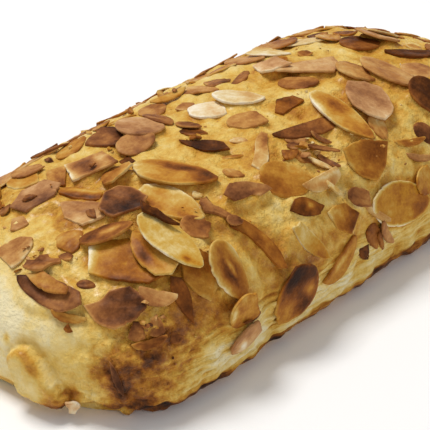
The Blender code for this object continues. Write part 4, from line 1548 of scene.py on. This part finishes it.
@dataclass
class Bedding:
    """Lays loose slices on the crust and on the slices already there, and remembers them.

    A slice feels what lies under its outline, under a smaller ring inside it and under its middle.
    It rests at the height that rests_on percent of these places stay below.
    """

    dough: BVHTree
    slices: list[BVHTree]
    sink: float = 0.12 * MM
    steepest: float = math.tan(math.radians(11.0))
    reach: float = 40.0 * MM
    widest_gap: float = 1.8 * MM
    feeler: float = 2.5 * MM
    deepest: float = 5.0 * MM
    inner_ring: float = 0.55
    rests_on: float = 90.0

    def touch(self, start: Vector, direction: Vector) -> float | None:
        """Return how far a ray goes before it meets the crust or a slice.

        Args:
            start: where the ray starts.
            direction: which way it goes.

        Returns:
            The distance, or None where it meets nothing.
        """
        found = [tree.ray_cast(start, direction)[3] for tree in (self.dough, *self.slices)]
        found = [distance for distance in found if distance is not None]
        return min(found) if found else None

    def surface(self, start: Vector, direction: Vector, heading: Vector) -> tuple | None:
        """Return a frame on the dough where a ray meets it: origin, long axis, cross axis, up.

        Args:
            start: where the ray starts.
            direction: which way it goes.
            heading: which way the long axis should run.

        Returns:
            The frame, or None off the dough.
        """
        place, up, _, _ = self.dough.ray_cast(start, direction)
        if place is None:
            return None
        side = direction.cross(heading).normalized()
        for shift in (heading, -heading, side, -side):
            _, nearby, _, _ = self.dough.ray_cast(start + shift * self.feeler, direction)
            if nearby is not None:
                up = up + nearby
        up = up.normalized()
        long_axis = (heading - up * heading.dot(up)).normalized()
        return place, long_axis, up.cross(long_axis), up

    def lay(self, spot: tuple, outline: np.ndarray, thickness: float, fussy: bool) -> Matrix | None:
        """Lay a slice at a frame on the dough.

        Args:
            spot: the frame from surface().
            outline: the slice's outline round its middle.
            thickness: its thickness.
            fussy: whether it is left out where it would stand off the crust.

        Returns:
            The matrix that puts it in place, or None where there is nothing to lie on.
        """
        origin, long_axis, cross_axis, up = spot
        rows, heights = [], []
        for u, v in np.vstack((outline, outline * self.inner_ring, (0.0, 0.0))):
            start = origin + long_axis * u + cross_axis * v + up * self.reach
            distance = self.touch(start, -up)
            if distance is not None and distance < self.reach + self.deepest:
                rows.append((u, v, 1.0))
                heights.append(self.reach - distance)
        if len(rows) < len(outline):
            return None
        grid, levels = np.array(rows), np.array(heights)
        plane = np.linalg.lstsq(grid, levels, rcond=None)[0]
        plane[:2] = np.clip(plane[:2], -self.steepest, self.steepest)
        under = levels - grid[:, :2] @ plane[:2]
        if fussy and np.ptp(under) > self.widest_gap:
            return None
        plane[2] = np.percentile(under, self.rests_on) - self.sink
        tilted = (up - long_axis * plane[0] - cross_axis * plane[1]).normalized()
        along = (long_axis - tilted * long_axis.dot(tilted)).normalized()
        place = frame_at(origin + up * plane[2], along, tilted.cross(along), tilted)
        top = [place @ Vector((u, v, thickness)) for u, v in outline]
        self.slices.append(BVHTree.FromPolygons(top, [tuple(range(len(top)))]))
        return place


@dataclass(frozen=True)
class Seat:
    """Where one small piece goes: its kind, its turn and place, its size and its own toast."""

    kind: int
    turn: Matrix
    spread: tuple[float, float, float]
    toast_shift: float
    blush: float


class Laying:
    """Sets modelled kinds on points by Geometry Nodes and makes the result one plain mesh."""

    def __init__(self) -> None:
        """Build the tree once."""
        self.sockets: dict[str, str] = {}
        self.tree = self.grow()

    def grow(self) -> bpy.types.NodeTree:
        """Return the tree that sets a kind on every point and makes it real.

        Returns:
            The tree.
        """
        tree = bpy.data.node_groups.new("lay_pieces", "GeometryNodeTree")
        for name, kind in (
            ("Geometry", "NodeSocketGeometry"),
            ("Kinds", "NodeSocketCollection"),
            ("Thickness", "NodeSocketFloat"),
            ("Finish", "NodeSocketMaterial"),
        ):
            made = tree.interface.new_socket(name, in_out="INPUT", socket_type=kind)
            self.sockets[name] = made.identifier
        tree.interface.new_socket("Geometry", in_out="OUTPUT", socket_type="NodeSocketGeometry")
        bench = NodeBench(tree)
        given, made = bench.add("NodeGroupInput"), bench.add("NodeGroupOutput")
        points = bench.add("GeometryNodeMeshToPoints")
        bench.feed(points, Mesh=given.outputs["Geometry"])
        kinds = bench.add("GeometryNodeCollectionInfo")
        bench.feed(kinds, Collection=given.outputs["Kinds"], Separate_Children=True, Reset_Children=True)
        named = {}
        for name, kind in (("kind", "INT"), ("turn", "FLOAT_VECTOR"), ("spread", "FLOAT_VECTOR")):
            named[name] = bench.add("GeometryNodeInputNamedAttribute", data_type=kind)
            bench.feed(named[name], Name=name)
        rotation = bench.add("FunctionNodeEulerToRotation")
        bench.feed(rotation, Euler=named["turn"].outputs["Attribute"])
        thick = bench.add("ShaderNodeCombineXYZ")
        bench.feed(thick, X=1.0, Y=1.0, Z=given.outputs["Thickness"])
        size = bench.add("ShaderNodeVectorMath", operation="MULTIPLY")
        bench.join(named["spread"].outputs["Attribute"], size.inputs[0])
        bench.join(thick.outputs["Vector"], size.inputs[1])
        placed = bench.add("GeometryNodeInstanceOnPoints")
        bench.feed(placed, Points=points.outputs["Points"], Instance=kinds.outputs["Instances"])
        bench.feed(placed, Pick_Instance=True, Instance_Index=named["kind"].outputs["Attribute"])
        bench.feed(placed, Rotation=rotation.outputs["Rotation"], Scale=size.outputs["Vector"])
        real = bench.add("GeometryNodeRealizeInstances")
        bench.feed(real, Geometry=placed.outputs["Instances"])
        finish = bench.add("GeometryNodeSetMaterial")
        bench.feed(finish, Geometry=real.outputs["Geometry"], Material=given.outputs["Finish"])
        bench.join(finish.outputs["Geometry"], made.inputs["Geometry"])
        return tree

    def lay(
        self,
        name: str,
        seats: Sequence[Seat],
        kinds: Sequence[bpy.types.Mesh],
        thickness: float,
        finish: bpy.types.Material,
    ) -> bpy.types.Object:
        """Lay pieces and return them as one object with a plain mesh.

        Args:
            name: the object's name.
            seats: where each piece goes.
            kinds: the modelled kinds, in the order the seats count them.
            thickness: the pieces' thickness.
            finish: their material.

        Returns:
            The finished object, without modifiers.
        """
        gathered = bpy.data.collections.new(f"{name}_kinds")
        for number, kind in enumerate(kinds):
            gathered.objects.link(bpy.data.objects.new(f"{name}_kind_{number:02d}", kind))
        mesh = bpy.data.meshes.new(name)
        mesh.from_pydata([tuple(seat.turn.translation) for seat in seats], [], [])
        index = mesh.attributes.new("kind", "INT", "POINT")
        index.data.foreach_set("value", [seat.kind for seat in seats])
        set_vectors(mesh, "turn", np.array([tuple(seat.turn.to_euler()) for seat in seats]))
        set_vectors(mesh, "spread", np.array([seat.spread for seat in seats]))
        set_floats(mesh, "toast_shift", np.array([seat.toast_shift for seat in seats]))
        set_floats(mesh, "blush", np.array([seat.blush for seat in seats]))
        item = new_object(name, mesh)
        lay = item.modifiers.new("lay", "NODES")
        lay.node_group = self.tree
        lay[self.sockets["Kinds"]] = gathered
        lay[self.sockets["Thickness"]] = thickness
        lay[self.sockets["Finish"]] = finish
        apply_modifiers(item)
        for kind in list(gathered.objects):
            bpy.data.objects.remove(kind)
        bpy.data.collections.remove(gathered)
        return item


@dataclass
class SliceScatter:
    """The smaller slices: placed one by one where they show, scattered by chance elsewhere.

    Lengths and places are in millimetres and headings in degrees. A pair is a mean and its spread,
    or the least and the greatest.
    """

    maker: SliceMaker
    bedding: Bedding
    laying: Laying
    finishes: dict[str, bpy.types.Material]
    taken: list[Vector]
    thickness: float = 0.55 * MM
    scattered: int = 190
    spacing: float = 5.6 * MM
    tries: int = 9000
    headings: tuple = (-45.0, 55.0)
    lengths: tuple = (10.5, 3.0)
    length_limits: tuple = (4.5, 17.0)
    width_shares: tuple = (0.60, 0.12)
    width_limits: tuple = (2.6, 9.5)
    break_shares: tuple = (0.34, 0.18, 0.14, 0.16, 0.09, 0.09)
    toast_shares: tuple = (0.13, 0.50, 0.33, 0.04)
    placed_shift: float = 0.04
    placed_blush: tuple = (0.1, 0.7)
    scattered_shift: float = 0.05
    scattered_blush: tuple = (0.0, 0.7)
    ray_height: float = 100.0
    ray_reach: float = 150.0
    least_upward: float = 0.42
    near_end: float = -63.0
    far_end: float = 45.0
    far_side: float = 9.0
    full_size_from: float = 18.0
    smaller: float = 0.8
    rows: list[tuple[LooseSlice, Seat]] = field(default_factory=list)

    def spot(self, loose: LooseSlice) -> tuple | None:
        """Return the frame on the dough for a slice's place and heading.

        Args:
            loose: the slice.

        Returns:
            The frame from Bedding.surface(), or None off the dough.
        """
        turn = math.radians(loose.heading)
        if loose.compass is None:
            heading = Vector((math.cos(turn), math.sin(turn), 0.0))
            return self.bedding.surface(overhead(loose.along, loose.across), DOWN, heading)
        facing = math.radians(loose.compass)
        outward = Vector((math.cos(facing), math.sin(facing), 0.0))
        level = Vector((-outward.y, outward.x, 0.0))
        heading = level * math.cos(turn) + UP * math.sin(turn)
        start = BASE + level * loose.along * MM + outward * self.ray_reach * MM
        start.z = loose.across * MM
        return self.bedding.surface(start, -outward, heading)

    def place(self, loose: LooseSlice, toast_shift: float, blush: float, fussy: bool = False) -> None:
        """Lay one slice and keep its seat; a fussy one is left out where it would stand off.

        Args:
            loose: the slice.
            toast_shift: how much more it is toasted than its kind.
            blush: how far its colour leans to tan.
            fussy: whether it is left out where it would stand off the crust.
        """
        spot = self.spot(loose)
        if spot is None:
            return
        outline = finger_outline(loose.length * MM, loose.width * MM, loose.broken, 12)
        turn = self.bedding.lay(spot, outline, self.thickness, fussy)
        if turn is not None:
            kind = 2 * list(Break).index(loose.broken) + len(self.rows) % 2
            spread = (loose.length * MM, loose.width * MM, 1.0)
            self.taken.append(turn.translation.copy())
            self.rows.append((loose, Seat(kind, turn, spread, toast_shift, blush)))

    def scatter(self) -> None:
        """Fill the far side and the far end of the crown."""
        rng = np.random.default_rng(SEED)
        breaks, toasts = list(Break), list(Toast)
        low, high = CAD_BOX
        left = self.scattered
        for _ in range(self.tries):
            if left == 0:
                break
            x, y = rng.uniform(low.x, high.x), rng.uniform(low.y, high.y)
            heading = rng.normal(*self.headings)
            length = float(np.clip(rng.normal(*self.lengths), *self.length_limits))
            width = float(np.clip(length * rng.normal(*self.width_shares), *self.width_limits))
            kind = breaks[rng.choice(len(breaks), p=self.break_shares)]
            toast = toasts[rng.choice(len(toasts), p=self.toast_shares)]
            shift = float(rng.normal(0.0, self.scattered_shift))
            blush = float(rng.uniform(*self.scattered_blush))
            seat, normal, _, _ = self.bedding.dough.ray_cast(Vector((x, y, self.ray_height * MM)), DOWN)
            if seat is None or normal.z < self.least_upward:
                continue
            away = seat - BASE
            if away.x < self.near_end * MM or (away.y < self.far_side * MM and away.x < self.far_end * MM):
                continue
            if any((seat - other).length < self.spacing for other in self.taken):
                continue
            flat = away / MM
            if flat.y < self.full_size_from:
                length, width = length * self.smaller, width * self.smaller
            before = len(self.rows)
            loose = LooseSlice(flat.x, flat.y, heading, length, width, kind, toast)
            self.place(loose, shift, blush, fussy=True)
            left -= len(self.rows) - before

    def kinds(self, toast: Toast) -> list[bpy.types.Mesh]:
        """Model two slices of each kind of break, of unit length, width and thickness.

        Args:
            toast: the slices' toast.

        Returns:
            The meshes, two for each kind of break.
        """
        made = []
        for number in range(2 * len(Break)):
            outline = finger_outline(1.0, 1.0, list(Break)[number // 2], 14)
            seed = 5.0 + 1.7 * number
            solid = self.maker.solid(outline, 1.0, 0.55 * math.sin(3.0 + 2.0 * number), 0.2, seed)
            shades = self.maker.toasting(solid[0], solid[2], toast.level, seed + toast.level)
            mesh = self.maker.finish(f"kind_{number:02d}", solid, shades, Matrix.Identity(4))
            set_vectors(mesh, "slice_place", solid[0] * (8.0 * MM, 8.0 * MM, 1.0 * MM))
            made.append(mesh)
        return made

    def build(self) -> list[bpy.types.Object]:
        """Lay all the smaller slices and return one piece for each toast.

        Returns:
            The finished pieces, in the order of their toast.
        """
        rng = np.random.default_rng(SEED + 1)
        for loose in PLACED_SLICES:
            shift = float(rng.normal(0.0, self.placed_shift))
            self.place(loose, shift, float(rng.uniform(*self.placed_blush)))
        self.scatter()
        made = []
        for toast in Toast:
            seats = [seat for loose, seat in self.rows if loose.toast is toast]
            finish = self.finishes[toast.word]
            name = f"loose_slices_{toast.word}"
            item = self.laying.lay(name, seats, self.kinds(toast), self.thickness, finish)
            dress(item, finish)
            made.append(item)
        return made


@dataclass(frozen=True)
class CrumbHeap:
    """A loose heap of crumbs: its middle in millimetres, its reach, how many, how toasted, how big."""

    along: float
    across: float
    reach: float
    count: int
    shift: float
    size: float = 1.0


HEAPS: tuple[CrumbHeap, ...] = tuple(CrumbHeap(*row) for row in (
    (-58.5, -27.8, 4.0, 26, 0.08, 1.9),
    (-64.0, -0.5, 2.8, 16, -0.04, 2.0),
    (-4.5, -17.5, 4.6, 34, -0.08, 2.4),
    (-19.0, -1.5, 2.0, 8, 0.05, 1.8),
    (-2.0, -22.0, 5.0, 22, 0.0),
    (8.0, -27.0, 7.0, 20, 0.05),
    (14.0, -3.0, 4.0, 10, -0.25),
    (-40.0, -27.0, 8.0, 18, -0.05),
    (34.0, 14.0, 8.0, 18, 0.05),
    (-46.0, 14.0, 12.0, 16, 0.0, 2.0),
    (-26.0, 17.0, 12.0, 18, 0.0, 2.2),
    (-2.0, 20.0, 12.0, 18, 0.0, 2.2),
))


@dataclass
class Crumbs:
    """Chips and splinters of almond, thickest in a few heaps.

    Where something lies higher above the crust than on_slice, most crumbs are kept off it. Strewn
    places are in millimetres, the least and the greatest.
    """

    bedding: Bedding
    laying: Laying
    strewn: int = 70
    smallest: float = 0.35 * MM
    largest: float = 1.5 * MM
    kept_off: float = 0.85
    on_slice: float = 0.3 * MM
    lowest: float = 6.0 * MM
    strewn_along: tuple = (-62.0, 68.0)
    strewn_across: tuple = (-29.0, 29.0)
    strewn_shift: float = -0.12
    shapes: int = 6
    tilt: float = 0.35

    def chips(self) -> list[bpy.types.Mesh]:
        """Model a few angular chips and splinters of unit size.

        Returns:
            The meshes.
        """
        rng = np.random.default_rng(SEED + 2)
        made = []
        for number in range(self.shapes):
            stretch = (1.0, 0.55, 0.35) if number % 2 else (0.8, 0.7, 0.5)
            builder = bmesh.new()
            for _ in range(11):
                place = rng.normal(0.0, 1.0, 3)
                builder.verts.new(place / np.linalg.norm(place) * 0.5 * np.array(stretch))
            hull = bmesh.ops.convex_hull(builder, input=builder.verts)
            loose = [item for item in hull["geom_interior"] if isinstance(item, bmesh.types.BMVert)]
            bmesh.ops.delete(builder, geom=loose, context="VERTS")
            bmesh.ops.recalc_face_normals(builder, faces=builder.faces)
            mesh = bpy.data.meshes.new(f"chip_{number}")
            builder.to_mesh(mesh)
            builder.free()
            places, _ = mesh_arrays(mesh)
            set_vectors(mesh, "slice_place", places * MM)
            set_floats(mesh, "toast", 0.5 + 0.12 * np.sin(places[:, 0] * 9.0 + number))
            made.append(mesh)
        return made

    def seat(self, spot: tuple, rng: np.random.Generator) -> Seat | None:
        """Return a crumb's seat where it falls, or None off the bar.

        Args:
            spot: its place along and across, its extra toast and how much larger it is.
            rng: gives its size, turn, kind and colour.

        Returns:
            Its seat, or None.
        """
        along, across, shift, larger = spot
        size = (self.smallest + (self.largest - self.smallest) * rng.random() ** 2) * larger
        turn = Matrix.Rotation(rng.uniform(0.0, 6.28), 4, "Z")
        turn = turn @ Matrix.Rotation(rng.normal(0.0, self.tilt), 4, "X")
        kind, blush, own = int(rng.integers(self.shapes)), rng.uniform(0.0, 0.8), rng.normal(0.0, 0.13)
        start = overhead(along, across)
        distance, crust = self.bedding.touch(start, DOWN), self.bedding.dough.ray_cast(start, DOWN)[3]
        if crust is None or start.z - distance < self.lowest:
            return None
        if crust - distance > self.on_slice and rng.random() < self.kept_off:
            return None
        place = start - Vector((0.0, 0.0, distance - 0.1 * size))
        return Seat(kind, Matrix.Translation(place) @ turn, (size,) * 3, shift + own, blush)

    def build(self, finish: bpy.types.Material) -> bpy.types.Object:
        """Strew the crumbs and return them as one piece.

        Args:
            finish: the crumbs' finish.

        Returns:
            The finished piece.
        """
        rng = np.random.default_rng(SEED + 3)
        spots = [
            (rng.uniform(*self.strewn_along), rng.uniform(*self.strewn_across), self.strewn_shift, 1.0)
            for _ in range(self.strewn)
        ]
        for heap in HEAPS:
            for _ in range(heap.count):
                along, across = rng.normal(0.0, heap.reach / 2.0, 2)
                spots.append((heap.along + along, heap.across + across, heap.shift, heap.size))
        seats = [self.seat(spot, rng) for spot in spots]
        seats = [seat for seat in seats if seat is not None]
        item = self.laying.lay("almond_crumbs", seats, self.chips(), 1.0, finish)
        dress(item, finish)
        item.data.shade_flat()
        return item


# ---------------------------------------------------------------- studio


@dataclass(frozen=True)
class Studio:
    """A pale floor, soft light and the camera, aimed at the bar from above its near corner.

    The aim is measured from the base's middle.
    """

    distance: float = 340.0 * MM
    aim: tuple = (-16.742 * MM, -4.893 * MM, 14.0 * MM)
    lens: float = 137.88
    floor_size: float = 4.0

    def camera(self) -> None:
        """Add the camera."""
        back = Vector((
            -math.sin(VIEW_TURN) * math.cos(VIEW_RISE),
            -math.cos(VIEW_TURN) * math.cos(VIEW_RISE),
            math.sin(VIEW_RISE),
        ))
        optics = bpy.data.cameras.new("camera")
        optics.lens = self.lens
        optics.clip_start = 0.01
        item = new_object("camera", optics)
        item.location = BASE + Vector(self.aim) + back * self.distance
        item.rotation_euler = (-back).to_track_quat("-Z", "Y").to_euler()
        bpy.context.scene.camera = item

    def floor(self) -> None:
        """Add the floor."""
        builder = bmesh.new()
        bmesh.ops.create_grid(builder, x_segments=1, y_segments=1, size=self.floor_size / 2.0)
        mesh = bpy.data.meshes.new("floor")
        builder.to_mesh(mesh)
        builder.free()
        item = new_object("floor", mesh)
        item.location.z = -0.05 * MM
        material, bench, shader = new_material("pale_floor")
        bench.feed(shader, Base_Color=(0.97, 0.97, 0.97, 1.0), Roughness=0.9, Specular_IOR_Level=0.1)
        mesh.materials.append(material)

    @staticmethod
    def lamp(name: str, place: Vector, size: float, power: float, colour: tuple) -> None:
        """Add a square soft light that looks at the bar.

        Args:
            name: the light's name.
            place: where it stands.
            size: how wide it is.
            power: how strong it is.
            colour: its linear colour.
        """
        light = bpy.data.lights.new(name, "AREA")
        light.size = size
        light.energy = power
        light.color = colour
        item = new_object(name, light)
        item.location = place
        item.rotation_euler = (BASE - place).to_track_quat("-Z", "Y").to_euler()

    def lights(self) -> None:
        """Add the soft lights and the pale surroundings."""
        away = SEEN_AWAY - UP
        self.lamp("key", SEEN_RIGHT * -0.31 + away * 0.2 + UP * 0.9, 0.32, 6.85, (1.0, 0.985, 0.96))
        self.lamp("fill", SEEN_RIGHT * 0.6 + away * -0.7 + UP * 0.5, 0.7, 1.4, (1.0, 0.99, 0.98))
        world = bpy.data.worlds.new("surroundings")
        world.use_nodes = True
        sky = world.node_tree.nodes["Background"]
        NodeBench(world.node_tree).feed(sky, Color=(1.0, 1.0, 1.0, 1.0), Strength=0.375)
        bpy.context.scene.world = world

    def build(self) -> None:
        """Add everything that isn't part of the bar."""
        self.camera()
        self.floor()
        self.lights()
        bpy.context.scene.view_settings.view_transform = "Standard"


def main() -> None:
    """Build the bar piece by piece."""
    logging.basicConfig(level=logging.INFO, format="%(message)s")
    Studio().build()
    mottle = BakedSurface.mottle()
    colours = AlmondFinish.toast_colours()
    finishes = {toast.word: AlmondFinish(toast, mottle, colours).build() for toast in Toast}
    packed_slices = face_tree([frame["nodes"][name].data for name in LargeSlices.nodes()])
    dough = DoughBar().build(packed_slices, DoughFinish(mottle).build())
    large = LargeSlices(SliceMaker(), finishes).build()
    middles = [mean_place(piece.data) for piece in large]
    bedding = Bedding(face_tree([dough.data]), [packed_slices])
    laying = Laying()
    small_maker = SliceMaker(
        spacing=0.12,
        rings=(0.35, 0.68, 0.92),
        rim=((1.0, 0.8), (1.0, 0.15)),
        under=(0.7,),
        ragged=0.011,
        wrinkle=0.07,
        buried=0.3,
    )
    SliceScatter(small_maker, bedding, laying, finishes, middles).build()
    Crumbs(bedding, laying).build(finishes[Toast.BROWN.word])


if __name__ == "__main__":
    main()
